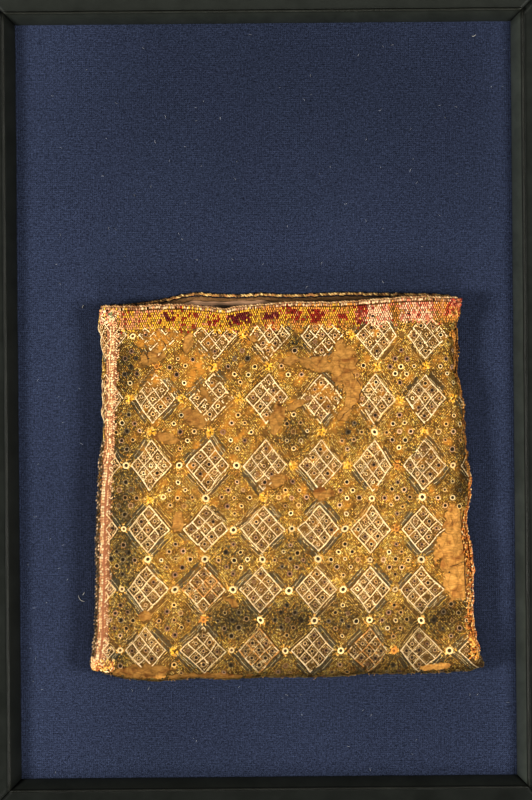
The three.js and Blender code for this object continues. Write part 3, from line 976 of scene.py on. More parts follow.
def stations(spans, start_round, end_round):
    """Shares of a span and distances from its ends, closer together in the rounded ends."""
    steps = PURSE_GRID["round_steps"]
    quarter = np.arange(steps) / steps * math.pi / 2
    even = np.arange(spans + 1) / spans
    share, edge = [even], [start_round - even * (start_round + end_round)]
    if start_round:
        share.insert(0, np.zeros(steps))
        edge.insert(0, start_round * (1 - np.cos(quarter)))
    if end_round:
        late = (np.arange(steps) + 1) / steps * math.pi / 2
        share.append(np.ones(steps))
        edge.append(-end_round * (1 - np.sin(late)))
    return np.concatenate(share), np.concatenate(edge)


def patch(left, right, foot, top, across, up):
    """A grid of places inside four curved bounds."""
    x, y = np.zeros((2, len(up[0]), len(across[0])))
    for _ in range(6):
        x = left(y) + (right(y) - left(y)) * across[0][None] + across[1][None]
        y = foot(x) + (top(x) - foot(x)) * up[0][:, None] + up[1][:, None]
    return x, y


def wall(face, inset):
    """One surface of the purse's cloth as a grid of points."""
    side, foot = PURSE["side_round"] - inset, PURSE["foot_round"] - inset
    x, y = patch(
        lambda at: left_edge(at) + inset,
        lambda at: right_edge(at) - inset,
        lambda at: foot_edge(at) + inset,
        lambda at: rim_edge(face, at),
        stations(PURSE_GRID["across"], side, side),
        stations(PURSE_GRID["up"], foot, 0),
    )
    return points_at(x, y, face_height(face, x, y, inset))


def add_purse_cloth():
    """Front, back and folds as one closed cloth, open at the mouth."""
    outer, back = wall(1, 0.0), wall(-1, 0.0)
    inner, inner_back = wall(1, PURSE["wall"]), wall(-1, PURSE["wall"])
    for front, rear in ((outer, back), (inner, inner_back)):
        rear[:, 0], rear[:, -1], rear[0] = front[:, 0], front[:, -1], front[0]
    linen = {name: display(colour) for name, colour in LINEN.items()}
    parts = [
        grid_part(outer, ground_colour(outer[..., 0], outer[..., 1]).reshape(-1, 3)),
        grid_part(back, linen["back"], True),
        grid_part(inner, linen["inside"], True),
        grid_part(inner_back, linen["inside"]),
        grid_part(np.stack([outer[-1], inner[-1]]), linen["front_rim"]),
        grid_part(np.stack([inner_back[-1], back[-1]]), linen["back_rim"]),
    ]
    part = merged(*join(parts))
    x, y, z = part[0].T
    wear, tone = wear_of(x, y)
    values = {"wear": np.where(z > MIDDLE, wear, -9.0), "tone": tone}
    piece = add_mesh("purse_cloth", part, GROUND, ["burse_body"], values=values)


# Counted pattern
# Middles of the lozenge columns and rows where they lie on the purse, stretched as the cloth is
COLUMNS = table(
    "column low middle high",
    (-1, -89.3, -87, -84.6),
    (0, -68.8, -66.2, -63.2),
    (1, -49.1, -46.9, -42.8),
    (2, -25.9, -24, -19.8),
    (3, -3.6, -1.2, 1.6),
    (4, 17.7, 21.2, 22.2),
    (5, 40.1, 42.2, 44.8),
    (6, 60.3, 62.3, 64.2),
    (7, 85.2, 86, 86.5),
    (8, 104.5, 105, 105.5),
)
LEVELS = {"low": -100.0, "middle": -38.0, "high": 26.0}
ROWS = table(
    "row y",
    (-1, 52),
    (0, 26),
    (1, 0.7),
    (2, -26.1),
    (3, -51.6),
    (4, -75.6),
    (5, -100.1),
    (6, -123),
)
ROW_TILT = -0.0085
STITCH_PITCH = 0.042
LOZENGE_REACH = 0.375
LINE_STEP = 0.25
# How far from the middle of a unit square the rings, a lozenge's lines and its inner stripe reach
RINGS_REACH, LINES_REACH, STRIPE_REACH = 0.34, 0.40, 0.45
# How far from the middle of a ring, of a mark and of a line the ground stitches begin
RING_CLEARANCE, MARK_CLEARANCE, LINE_CLEARANCE = 0.06, 0.085, 0.02
CREAM_PALE, CREAM_WARM, CREAM_ORANGE = (250, 220, 170), (236, 194, 132), (214, 148, 76)
LEFT_BRAID = table(
    "y x width",
    (-103.5, -67.8, 5.2),
    (-96, -66.9, 5),
    (-80, -66.1, 4.8),
    (-60, -65.6, 4.6),
    (-40, -65.2, 4.6),
    (-22, -63.8, 4.4),
    (0, -62.6, 4.4),
    (20, -61.8, 4.4),
    (36, -61.7, 3.8),
)
RIGHT_BRAID = table("y turn", (-101, 34), (-88, 26), (-70, 16), (-50, 6), (-30, -8), (0, -16), (37, -16))
# Where loosened stitches of the right braid stand out: x is the height of the place up the purse
BULGES = table(
    "x y turn length width proud",
    (18, 0, 0, 9, 9, 1.3),
    (-60, 0, 0, 7, 9, 1.4),
    (-90, 0, 0, 5, 9, 0.6),
)
SILKS = {
    "yellow": (
        (230, 190, 82),
        (220, 174, 66),
        (236, 206, 120),
        (202, 156, 58),
        (226, 184, 98),
        (176, 128, 46),
    ),
    "brown": ((206, 148, 50), (182, 124, 40), (220, 170, 82), (142, 96, 32), (196, 132, 56), (232, 186, 90)),
    "grey": ((134, 112, 62), (88, 82, 60), (156, 120, 58), (62, 54, 36), (168, 138, 84)),
    "cell": ((228, 192, 126), (206, 162, 92), (238, 208, 150), (182, 138, 72), (150, 110, 58)),
    "fill": ((246, 214, 152), (232, 192, 124), (214, 166, 98)),
    "cream_ring": ((236, 196, 132), (222, 176, 110), (244, 214, 156), (196, 144, 84)),
    "mauve_ring": ((192, 146, 110), (168, 122, 90), (208, 164, 120), (142, 100, 76)),
    "gold_ring": ((232, 190, 118), (242, 208, 142), (216, 168, 98), (198, 150, 96)),
    "dusk_ring": ((124, 102, 78), (96, 80, 60), (154, 128, 92), (66, 54, 40)),
    "cell_ring": ((168, 122, 82), (192, 148, 98), (136, 96, 66), (208, 166, 110)),
    "yellow_heap": ((240, 184, 58), (226, 162, 46), (250, 210, 110), (206, 142, 40)),
    "gold_heap": ((214, 156, 66), (190, 128, 50), (228, 180, 96)),
    "orange_heap": ((222, 148, 56), (200, 120, 44), (236, 176, 84)),
}
# Three rows of stitches that flank a lozenge's side, in slate, in gold or in cream
STRIPES = (
    ((88, 88, 72), (200, 180, 132), (76, 76, 62)),
    ((236, 196, 116), (120, 84, 40), (220, 174, 90)),
    ((244, 214, 154), (72, 64, 48), (220, 182, 116)),
)
# Column and row of the lozenges whose cells are worked closely in cream round the holes
FULL_LOZENGES = ((1, 1), (2, 1), (5, 1), (6, 1), (1, 2), (5, 2), (5, 3), (5, 4), (5, 0), (6, 0))
ORANGE_LOZENGES = {(2, 4), (3, 5), (5, 5)}
# Colours in the rings' middles: an open hole is painted shade, a filled one is brown linen.
HOLE_SHADE, FILLED = (20, 12, 5), (112, 72, 32)
# For each side of each unit square: what picks its silks, and the middle and length of their run
STYLES = RANDOM.random((40, 40, 4, 3))


def place(a, b):
    """Where the counted thread (a, b) lies: a runs down to the right, b up to the right."""
    t = smooth(ROWS, "row", "y", (a - b) / 2)
    s = 0.0
    for name, level in LEVELS.items():
        first, second = (other for other in LEVELS.values() if other != level)
        weighted = smooth(COLUMNS, "column", name, (a + b) / 2) * (t - first) * (t - second)
        s = s + weighted / ((level - first) * (level - second))
    t = t + ROW_TILT * s
    return s + 0.30 * ripple(s, t, 11.0, 71), t + 0.30 * ripple(s, t, 11.0, 72)


def thread_frame(a, b, turn=0.0):
    """Points, the direction along a (or turned towards b), and outwards, at counted threads."""
    s, t = place(a, b)
    step = 0.02
    s_next, t_next = place(a + step * np.cos(turn), b + step * np.sin(turn))
    points, across, up, out = purse_frame(s, t)
    along = unit((s_next - s)[:, None] * across + (t_next - t)[:, None] * up)
    return points, along, out


def strayed(values, by):
    return values + RANDOM.normal(0, by, np.shape(values))


def kept(keep, *columns):
    return [column[keep] for column in columns]


def left_braid_middle(y):
    """The line that the left braid really follows: it wanders a little."""
    drift = 0.35 + 0.3 * np.exp(-(((y + 35) / 22) ** 2))
    return smooth(LEFT_BRAID, "y", "x", y) + drift + 0.22 * ripple(y, 0.0, 12.0, 17)


def on_cloth(a, b, braid_share=1.0):
    """Whether a thread lies on the embroidered part, clear of the band and of a share of the left braid."""
    s, t = place(a, b)
    left, right, braid = left_edge(t), right_edge(t), left_braid_middle(t)
    x = np.clip(s, left + 1, right - 1)
    below_band = t < top_edge(1, x) - np.where(x > BAND["left"] - 1, BAND["height"] - 0.6, 1.2)
    on_sides = (s > left - 7) & (s < right + 7)
    half = braid_share * smooth(LEFT_BRAID, "y", "width", t) / 2 - 0.3
    beaded = (s < braid) & (t < -16)
    return below_band & on_sides & (t > foot_edge(x) - 4.0) & (np.abs(s - braid) > half) & ~beaded


def is_full(a, b):
    """Whether the unit square that holds (a, b) is one of the full lozenges."""
    found = np.zeros(np.shape(a), bool)
    for column, row in FULL_LOZENGES:
        found |= (np.round(a) == column + row) & (np.round(b) == column - row)
    return found


def styles_of(near_a, near_b, side=0):
    """The drawn numbers of one side of the unit squares, one row for each of the three."""
    a, b = ((near.astype(int) + 20) % 40 for near in (near_a, near_b))
    return np.moveaxis(STYLES[a, b, side], -1, 0)


def side_style(a, b, da, db, lozenge):
    """Which silks flank the nearest side of the nearest lozenge: a number in STRIPES, or -1."""
    on_a = np.abs(da) > np.abs(db)
    sign = np.sign(np.where(on_a, da, db)).astype(int)
    step = np.where(lozenge, 0, sign)
    near_a, near_b = np.round(a) + np.where(on_a, step, 0), np.round(b) + np.where(on_a, 0, step)
    side = np.where(on_a, 0, 2) + (np.where(lozenge, sign, -sign) > 0)
    chance, middle, half = styles_of(near_a, near_b, side)
    slate = np.where(near_a - near_b > 4, 0.52, 0.34)
    cream = np.where(chance < slate + 0.34, 2, -1)
    style = np.where(chance < slate, 0, np.where(chance < slate + 0.22, 1, cream))
    in_run = np.abs(np.where(on_a, db, da) - 0.5 * (middle - 0.5)) < 0.16 + 0.26 * half
    return np.where(in_run, style, -1)


def add_ground_stitches():
    """The small stitches that cover the ground between rings, lines and marks."""
    a, b = np.meshgrid(np.arange(-2, 14.5, STITCH_PITCH), np.arange(-7, 9.5, STITCH_PITCH))
    a, b = (a + STITCH_PITCH / 2).ravel(), (b + STITCH_PITCH / 2).ravel()
    a, b = kept(on_cloth(a, b), a, b)
    s, t = place(a, b)
    near_a, near_b = np.round(a), np.round(b)
    da, db, lozenge = a - near_a, b - near_b, (near_a + near_b) % 2 == 0
    reach = np.maximum(np.abs(da), np.abs(db))
    from_ring = [offset - LINE_STEP * np.clip(np.round(offset / LINE_STEP), -1, 1) for offset in (da, db)]
    in_ring = (np.hypot(*from_ring) < RING_CLEARANCE) & (reach < RINGS_REACH)
    corner = np.hypot(np.abs(da) - 0.5, np.abs(db) - 0.5) < MARK_CLEARANCE
    on_a, on_b = (np.abs(np.abs(offset) - LINE_STEP / 2) < LINE_CLEARANCE for offset in (da, db))
    on_line = lozenge & (reach < LINES_REACH) & (on_a | on_b | (reach > 0.36))
    lost = worn(s, t) + 0.10 * RANDOM.normal(size=len(a)) > 0.0
    light, grey = brightness(s, t)
    thin = RANDOM.random(len(a)) < 0.05 + 0.07 * np.clip((t + 40) / 60, 0, 1) + 0.55 * rubbed(s, t)
    keep = ~(in_ring | corner | on_line | lost | thin)
    a, b, s, t, da, db, lozenge, reach = kept(keep, a, b, s, t, da, db, lozenge, reach)
    light, grey = kept(keep, light, grey)
    count = len(a)
    greyed = RANDOM.random(count) < grey
    fresh = RANDOM.random(count) < 0.5 + 0.55 * ripple(s, t, 9.0, 58)
    yellow = pick(SILKS["yellow"], count)
    colours = over(pick(SILKS["brown"], count), fresh, yellow)
    colours = over(colours, greyed, pick(SILKS["grey"], count))
    cell = lozenge & (reach < 0.37)
    colours = over(colours, cell, pick(SILKS["cell"], count))
    inner_stripe = np.where(reach > STRIPE_REACH, 1, np.where(reach > LINES_REACH, 0, -1))
    stripe = np.where(lozenge, inner_stripe, np.where(reach > STRIPE_REACH, 2, -1))
    style = side_style(a, b, da, db, lozenge)
    for number, silks in enumerate(STRIPES):
        for line, silk in enumerate(silks):
            chosen = (style == number) & (stripe == line) & (RANDOM.random(count) < 0.88)
            colours = over(colours, chosen, display(silk))
    filled = cell & is_full(a, b) & (RANDOM.random(count) < 0.5)
    colours = over(colours, filled, pick(SILKS["fill"], count))
    beside_seam = cell & (np.round(a) + np.round(b) == 0) & (s < left_braid_middle(t) + 4.4)
    colours = over(colours, beside_seam, display(CREAM_WARM))
    uneven = np.clip(RANDOM.lognormal(0.0, 0.23, count), 0.5, 1.6)
    colours = colours * (np.where(beside_seam, 1, light) * uneven)[:, None]
    in_rows = (np.floor(a / STITCH_PITCH) + np.floor(b / STITCH_PITCH)) % 2 == 0
    striped = (reach > LINES_REACH) & ((style >= 0) | (RANDOM.random(count) < 0.45))
    turn = np.where(striped, np.abs(da) > np.abs(db), ~in_rows) * math.pi / 2
    turn = turn + RANDOM.normal(0, 0.22, count) * ~striped
    points, along, out = thread_frame(strayed(a, 0.006), strayed(b, 0.006), turn)
    sizes = drawn(count, (0.40, 0.58), (0.25, 0.38), (0.2, 0.36))
    sizes[style >= 0, 1] = 0.26
    centres = points + out * RANDOM.uniform(0.03, 0.2, count)[:, None]
    upper = points[:, 1] > -36
    for name, chosen in (("ground_stitches_upper", upper), ("ground_stitches_lower", ~upper)):
        part = scatter(spindle(), *kept(chosen, centres, along, out, sizes, colours), 0.75)
        add_mesh(name, part, STITCH)


def add_lozenge_lines():
    """Four cream lines each way in every lozenge, worked as runs of small stitches."""
    run = ((np.arange(9) + 0.5) / 9 * 2 - 1) * (LOZENGE_REACH + 0.012)
    lines = [
        (column, row, share * LOZENGE_REACH, way)
        for row in range(6)
        for column in range(8)
        for share in (-1, -1 / 3, 1 / 3, 1)
        for way in (0, 1)
    ]
    rows = []
    for column, row, offset, way in lines:
        level = offset + RANDOM.normal(0, 0.006) + RANDOM.normal(0, 0.008) * (run / LOZENGE_REACH) ** 2
        fine = RANDOM.uniform(0.84, 1.1) * (0.9 if way else 1.0) * (1.0 if abs(offset) > 0.3 else 0.92)
        if column < 7 or offset < -0.3:
            da, db = (level, run) if way else (run, level)
            warm, dull = (column, row) in ORANGE_LOZENGES, RANDOM.uniform(0, 0.3)
            rows.append(points_at(column + row + da, column - row + db, way, warm, fine, dull))
    a, b, way, warm, fine, dull = np.concatenate(rows).T
    s, t = place(a, b)
    keep = on_cloth(a, b, 0.45) & (worn(s, t) + 0.12 * RANDOM.normal(size=len(a)) < 0.10)
    keep &= RANDOM.random(len(a)) > 1.1 * thinned(s, t)
    keep &= RANDOM.random(len(a)) > 0.02 + 0.05 * np.clip((t + 20) / 40, 0, 1)
    a, b, s, t, way, warm, fine, dull = kept(keep, a, b, s, t, way, warm, fine, dull)
    light, grey = brightness(s, t)
    count = len(a)
    mix = np.clip(RANDOM.normal(0.24, 0.24, count) + dull + 0.25 * grey + 0.12 * way, 0, 1)[:, None]
    colours = display(CREAM_PALE) * (1 - mix) + display(CREAM_WARM) * mix
    colours = over(colours, (warm > 0) & (RANDOM.random(count) < 0.55), display(CREAM_ORANGE))
    colours = colours * (1 - 0.8 * (1 - light))[:, None] * RANDOM.uniform(0.80, 1.01, count)[:, None]
    points, along, out = thread_frame(a, b, way * math.pi / 2)
    sizes = drawn(count, 0.86, (0.29, 0.38), 0.32)
    sizes[:, 1] *= fine
    over_braid = np.abs(s - left_braid_middle(t)) < 2.4
    centres = points + out * (0.34 + 0.06 * way + 0.5 * over_braid)[:, None]
    part = scatter(spindle(5, 3, 0.4), centres, along, out, sizes, colours, 0.8)
    add_mesh("lozenge_lines", part, CREAM)


def add_rings():
    """A stitched ring round the hole in every cell of the lozenges and of the dotted squares between."""
    rows = []
    for row, column, k in np.ndindex(8, 9, 9):
        da, db = LINE_STEP * (k % 3 - 1), LINE_STEP * (k // 3 - 1)
        a, b = column + row - 2 + da, column - row + db
        rows += [(a, b, 1), (a + 1, b, 0)]
    a, b, cell = np.array(rows).T
    s, t = place(a, b)
    keep = on_cloth(a, b) & (worn(s, t) < -0.06) & (RANDOM.random(len(a)) > 0.03 + 1.1 * thinned(s, t))
    a, b, s, t, cell = kept(keep, a, b, s, t, cell > 0)
    light, grey = brightness(s, t)
    count = len(a)
    style = styles_of(np.round(a), np.round(b))[1]
    chance = RANDOM.random(count)
    white = (np.hypot(s - 10.9, t + 13.3) < 9) & ~cell
    kinds = (
        ("gold_ring", np.full(count, True)),
        ("mauve_ring", chance < np.where(style < 0.5, 0.55, 0.25)),
        ("cream_ring", chance > np.where(style > 0.62, 0.45, 0.8)),
        ("dusk_ring", RANDOM.random(count) < grey),
        ("cell_ring", cell),
        ("cream_ring", cell & is_full(a, b) & (chance < 0.6)),
        ("cream_ring", white),
    )
    colours = np.zeros((count, 3))
    for name, chosen in kinds:
        colours = over(colours, chosen, pick(SILKS[name], count))
    colours = colours * light[:, None]
    points, along, out = thread_frame(strayed(a, 0.008), strayed(b, 0.008))
    size = np.where(cell, RANDOM.uniform(0.58, 0.7, count), RANDOM.uniform(0.64, 0.86, count))
    oval = size * RANDOM.uniform(0.85, 1.1, count)
    gaping = (grey > 0.3) | (RANDOM.random(count) < 0.25)
    size, oval = (np.where(gaping, 1.18 * value, value) for value in (size, oval))
    sizes = points_at(size, oval, size)
    parts = []
    for chosen, thickness in ((gaping, 0.2), (~gaping, 0.34)):
        form, centres = ring_form(thickness, 10, 5), points + out * 0.26
        parts.append(scatter(form, *kept(chosen, centres, along, out, sizes, colours)))
    # Open holes get dark discs: painted shade inside the hole.
    open_hole = RANDOM.random(count) < np.where(cell, 0.8 + 0.2 * grey, np.where(style < 0.85, 0.95, 0.75))
    hole = over(display(FILLED) * light[:, None], open_hole, display(HOLE_SHADE))
    inner = np.where(open_hole, 0.92, 0.7) * RANDOM.uniform(0.85, 1.1, count)
    discs = points_at(size * inner, oval * inner, 0.14)
    parts.append(scatter(spindle(7, 3, 1.0), points + out * 0.19, along, out, discs, hole))
    add_mesh("ring_stitches", join(parts), STITCH)


# Marks where four lozenges meet: r cream ring, s small ring, k yellow knot, o orange ring, - lost
MARKS_ACROSS = ("s-k-k-o", "kkk--kk", "rrrkkos", "s-rrro-", "srrrrs-", "sksrror")
MARKS_BETWEEN = ("-okk-kk-", "-kk-krk-", "-krk-sr-", "-rrrrsr-", "--orrrr-")
# The ring's radius, thickness, colour and the colour of its hole, dark as painted shade; then heaps: number,
# inner and outer distance, silks, lift
MARKS = {
    "r": ((1.12, 0.42, (248, 214, 150), (46, 34, 22)), (12, 1.6, 2.3, "gold_heap", 0.15)),
    "s": ((0.92, 0.36, (236, 200, 138), (84, 56, 32)), (7, 1.4, 2.0, "gold_heap", 0.15)),
    "o": ((0.88, 0.38, (206, 134, 56), (120, 74, 32)), (14, 1.2, 2.0, "orange_heap", 0.15)),
    "k": (None, (16, 1.0, 2.1, "gold_heap", 0.12), (22, 0.2, 1.5, "yellow_heap", 0.34)),
    "-": (None,),
}


def heap(a, b, count, inner, outer, silks, lift):
    """Short satin stitches heaped round one place, between two distances from it."""
    s, t = place(np.array([a]), np.array([b]))
    away = np.sqrt(RANDOM.uniform(inner**2, outer**2, count))
    turn = RANDOM.uniform(0, 2 * np.pi, count)
    points, across, up, out = purse_frame(s + away * np.cos(turn), t + away * np.sin(turn))
    lean = turn + RANDOM.normal(0, 0.5, count)
    heading = unit(np.cos(lean)[:, None] * across + np.sin(lean)[:, None] * up)
    wide = RANDOM.uniform(0.22, 0.36, count)
    sizes = drawn(count, (0.42, 0.7), wide, 0.28)
    centres = points + out * (lift + RANDOM.uniform(0, 0.2, count))[:, None]
    return scatter(spindle(5, 2), centres, heading, out, sizes, shades(SILKS[silks], count), 0.75)


def mark(kind, a, b):
    """The parts of one mark between lozenges."""
    point, along, out = thread_frame(strayed(np.array([a]), 0.008), strayed(np.array([b]), 0.008))
    ring, *heaps = MARKS[kind]
    parts = []
    if ring:
        radius, thickness, colour, hole = ring
        form = ring_form(thickness / radius, 24, 6, int(RANDOM.integers(5, 10)))
        oval = radius * RANDOM.uniform(0.8, 1.1, 2)
        tint = display(colour) * RANDOM.uniform(0.7, 0.98)
        parts.append(scatter(form, point + out * 0.42, along, out, (*oval, radius), tint))
        # The dark disc in the ring's middle is painted shade in its hole.
        disc = (*(oval - thickness + 0.16), 0.2)
        parts.append(scatter(spindle(8, 3, 1.0), point + out * 0.24, along, out, disc, display(hole)))
    return parts + [heap(a, b, *sizes) for sizes in heaps]


def add_marks():
    parts = []
    for kinds_by_row, down in ((MARKS_ACROSS, 0), (MARKS_BETWEEN, 1)):
        for row, kinds in enumerate(kinds_by_row):
            for column, kind in enumerate(kinds):
                parts += mark(kind, column + row + 0.5, column - row + 0.5 - down)
    add_mesh("junction_marks", join(parts), CREAM)


# Mouth of the purse
BAND_SILKS = {
    "salmon": (214, 142, 88),
    "yellow": (222, 164, 46),
    "crimson": (136, 26, 18),
    "wine": (96, 16, 26),
    "pink": (244, 186, 140),
    "rose": (206, 112, 78),
    "orange": (206, 132, 52),
    "brown": (150, 98, 36),
    "red": (178, 58, 32),
    "dull": (146, 116, 50),
}
# Blocks of the band up to x: their colour and rows, the colour round it, and how much that strays in
BLOCKS = (
    (-49.5, "salmon", 0, 7, "yellow", 0.22),
    (-41.1, "yellow", 1, 8, "salmon", 0.18),
    (-35.8, "wine", 1, 4, "yellow", 0.25),
    (-30.5, "yellow", 0, 8, "crimson", 0.16),
    (-28, "crimson", 1, 2, "yellow", 0.25),
    (-21.8, "yellow", 0, 8, "salmon", 0.20),
    (-18.6, "crimson", 1, 5, "yellow", 0.35),
    (-15.6, "yellow", 0, 8, "salmon", 0.10),
    (-5.9, "wine", 1, 5, "yellow", 0.14),
    (-0.3, "yellow", 0, 8, "brown", 0.30),
    (5.7, "wine", 2, 4, "orange", 0.14),
    (9.7, "yellow", 0, 8, "crimson", 0.14),
    (14.2, "crimson", 1, 5, "orange", 0.12),
    (17.4, "yellow", 0, 8, "brown", 0.3),
    (22.8, "crimson", 1, 6, "orange", 0.12),
    (29.6, "orange", 0, 8, "yellow", 0.3),
    (32, "crimson", 3, 6, "orange", 0.3),
    (36.1, "yellow", 1, 8, "orange", 0.3),
    (40.2, "rose", 1, 6, "crimson", 0.3),
    (50.1, "pink", 0, 8, "rose", 0.12),
    (53.8, "brown", 0, 8, "orange", 0.3),
    (67.3, "pink", 0, 8, "rose", 0.3),
    (72.4, "orange", 0, 8, "salmon", 0.3),
    (90, "red", 0, 5, "orange", 0.25),
)
BAND_ROWS = 8
BAND_BACKING, LINING_SILK = (120, 76, 34), (234, 178, 134)
STRAYS = ("brown", "rose", "orange", "crimson", "dull")
RIM_SILKS = ((212, 172, 122), (192, 144, 102), (226, 190, 138), (166, 112, 74), (134, 84, 52))
CORD_SILKS = {
    "front": ((196, 154, 104), (176, 130, 84), (216, 178, 126), (146, 96, 58), (186, 140, 90)),
    "back": ((198, 154, 88), (166, 120, 62), (220, 180, 112), (172, 116, 66), (104, 72, 38), (84, 58, 34)),
}


def band_colour(x, row):
    for to_x, name, first, last, around, stray in BLOCKS:
        if x <= to_x:
            chosen = name if first <= row <= last else around
            chosen = around if RANDOM.random() < 1.25 * stray else chosen
            chosen = STRAYS[RANDOM.integers(0, len(STRAYS))] if RANDOM.random() < 0.14 else chosen
            return display(BAND_SILKS[chosen])
    return display(BAND_SILKS["red"])


def band_top(x):
    return top_edge(1, x) - BAND["below"]


def band_ground():
    """The band's woven ground, turned in along its lower edge, painted dark as shade between the band's
    stitches.
    """
    share, edge = stations(150, 0, PURSE["side_round"])
    x, y = patch(
        lambda at: np.full(np.shape(at), BAND["left"]),
        right_edge,
        lambda at: band_top(at) - BAND["height"],
        band_top,
        (share[:-3], edge[:-3]),
        stations(10, 0, 0),
    )
    row = np.arange(len(x))[:, None]
    points, _, _, out = purse_frame(x, y, front_point)
    points[..., 1] += 0.35 * ripple(x, 0.0, 4.0, 81) * (row == 0)
    # The ground is a darkened copy of the band's silks: painted shade between the stitches.
    tints = np.array([[band_colour(at, 7.5 - j * 0.8) for at in x[j]] for j in range(len(x))]) * 0.3
    thickness = (GAP + 0.25) * np.clip(0.3 + 0.25 * row, 0, 1)[..., None]
    upper, lower = points + out * thickness, points + out * 0.02
    return closed_sheet(upper, lower, tints.reshape(-1, 3), display(BAND_BACKING))


def band_stitches():
    """Rows of silk stitches on the band, and one more over the rim."""
    pitch, rim_pitch = 0.86, 0.66
    marks = []
    for row in range(BAND_ROWS + 2):
        at = np.arange(BAND["left"] + 0.5 + 0.5 * pitch * (row % 2), right_edge(36.0) + 1.5, pitch)
        at = at[RANDOM.random(len(at)) > 0.3 * max(row - BAND_ROWS + 1.6, 0)]
        marks += [(x, row, *band_colour(x + RANDOM.normal(0, 0.7), row)) for x in at]
    for x in np.arange(left_edge(36.0) + 1.0, right_edge(36.0) + 1.0, rim_pitch):
        rim = display(RIM_SILKS[RANDOM.integers(0, len(RIM_SILKS))])
        marks.append((x, -1, *(rim if RANDOM.random() < 0.75 else band_colour(x, 0))))
    marks = np.array(marks)
    marks = marks[RANDOM.random(len(marks)) > 0.03]
    x, row, tints = marks[:, 0], marks[:, 1], marks[:, 2:]
    s = strayed(x, 0.06)
    row_height = (BAND["height"] - 0.4) / BAND_ROWS
    t = strayed(band_top(np.minimum(s, 77)) - 0.2 - row_height * (row + 0.5), 0.05)
    t = np.where(row < 0, strayed(rim_edge(1, np.minimum(s, 77)) + 0.05, 0.07), t)
    s, t, row, tints = kept(worn(s, t) < 0.35, s, t, row, tints)
    points, across, up, out = purse_frame(s, t)
    count = len(s)
    along = unit(up + RANDOM.normal(0.0, 0.12, count)[:, None] * across)
    sizes = drawn(count, (0.5, 0.6), (0.29, 0.36), 0.3)
    sizes[:, 0] += 0.12 * (row < 0)
    tints = tints * RANDOM.uniform(0.8, 1.15, count)[:, None]
    lift = np.where(row < BAND_ROWS - 1, GAP + 0.38, 0.36)[:, None]
    return scatter(spindle(5, 3, 0.5), points + out * lift, along, out, sizes, tints, 0.7)


def add_band():
    """The band of silk stitches at the mouth."""
    base = add_mesh("mouth_band_ground", band_ground(), STITCH, ["mouth_band"])
    stitches = add_mesh("mouth_band_stitches", band_stitches(), STITCH)


def add_rim_cords():
    """Two-ply cords on the cut edges of the front and of the back."""
    x = np.linspace(left_edge(36.8) + 0.9, right_edge(39.0) - 0.9, 520)
    for face, name, slot, beyond in ((1, "front", "cream_cord", 0.9), (-1, "back", "gold_cord", 1.05)):
        y = rim_edge(face, x)
        z = face_height(face, x, y, PURSE["wall"] / 2) + (CORD_RAISED if face > 0 else 0)
        middle = points_at(x, y + beyond, z)
        length = np.concatenate([[0], np.cumsum(np.linalg.norm(np.diff(middle, axis=0), axis=1))])
        parts = []
        for ply in (0, 1):
            turn = 2 * np.pi * length / 2.3 + ply * np.pi
            offset = 0.28 * points_at(0, np.cos(turn), np.sin(turn))
            fleck = pick(CORD_SILKS[name], len(x) // 4 + 2)
            tints = np.repeat(fleck, 4, axis=0)[: len(x)] * RANDOM.uniform(0.85, 1.05, len(x))[:, None]
            parts.append(tube(middle + offset, 0.42, tints, 6))
        add_mesh("rim_cord_plies_" + name, join(parts), CREAM, ["rim_cord_" + name])


def add_lining():
    """Thin silk against the inside of the back, a little slack."""
    x, y = patch(
        lambda at: left_edge(at) + LINING["side_in"],
        lambda at: right_edge(at) - LINING["side_in"],
        lambda at: foot_edge(at) + LINING["foot_in"],
        lambda at: top_edge(-1, at) - LINING["below"] + 0.3 * ripple(at, 0.0, 6.0, 91),
        stations(90, 0, 0),
        stations(60, 0, 0),
    )
    bottom = CLOTH["top"] + GAP + PURSE["wall"] + GAP
    slack = 0.16 * ripple(x, y * 0.4, 9.0, 92)
    fold = np.clip(0.9 + 0.14 * ripple(x, y, 7.0, 93), 0.6, 1.2)[..., None]
    silk = (display(LINING_SILK) * fold).reshape(-1, 3)
    upper = points_at(x, y, bottom + LINING["thickness"] - 0.2 + slack)
    part = closed_sheet(upper, points_at(x, y, bottom), silk, silk)
    piece = add_mesh("lining_sheet", part, SILK, ["burse_lining"])


# Braids over the side seams
SEAM_PITCH = {"bead": 1.5, "bump": 1.6, "line": 1.12, "slant": 0.92}
BRAID_GROUND = (130, 78, 50)
SEAM_SILKS = {
    "bead": ((190, 156, 116), (128, 106, 80), (48, 42, 38), (74, 64, 54), (210, 178, 138), (98, 80, 58)),
    "bump": ((150, 96, 50), (176, 118, 66), (206, 150, 92)),
    "cream": ((246, 206, 148), (232, 184, 126), (250, 220, 166), (222, 164, 112), (196, 132, 84)),
    "warm": (
        (242, 200, 146),
        (218, 156, 108),
        (248, 216, 164),
        (190, 124, 76),
        (232, 176, 120),
        (156, 98, 58),
    ),
    "russet": ((206, 140, 88), (176, 112, 62), (232, 178, 126)),
    "orange": ((204, 134, 58), (190, 108, 46), (220, 166, 92), (172, 102, 40), (132, 72, 32)),
    "dull": ((158, 104, 42), (126, 78, 34), (186, 130, 62), (84, 54, 26)),
    "pale": ((242, 208, 154), (218, 172, 118), (206, 130, 96), (170, 104, 66)),
}


def braid_row(s, t, lean, sizes, tints, lift):
    """Stitches along a braid, each leaning by its own angle from straight up."""
    points, across, up, out = purse_frame(s, t)
    lean, lift = (np.broadcast_to(value, len(points))[:, None] for value in (lean, lift))
    along = np.cos(lean) * up + np.sin(lean) * across
    return scatter(spindle(5, 3, 0.5), points + out * lift, along, out, sizes, tints, 0.75)


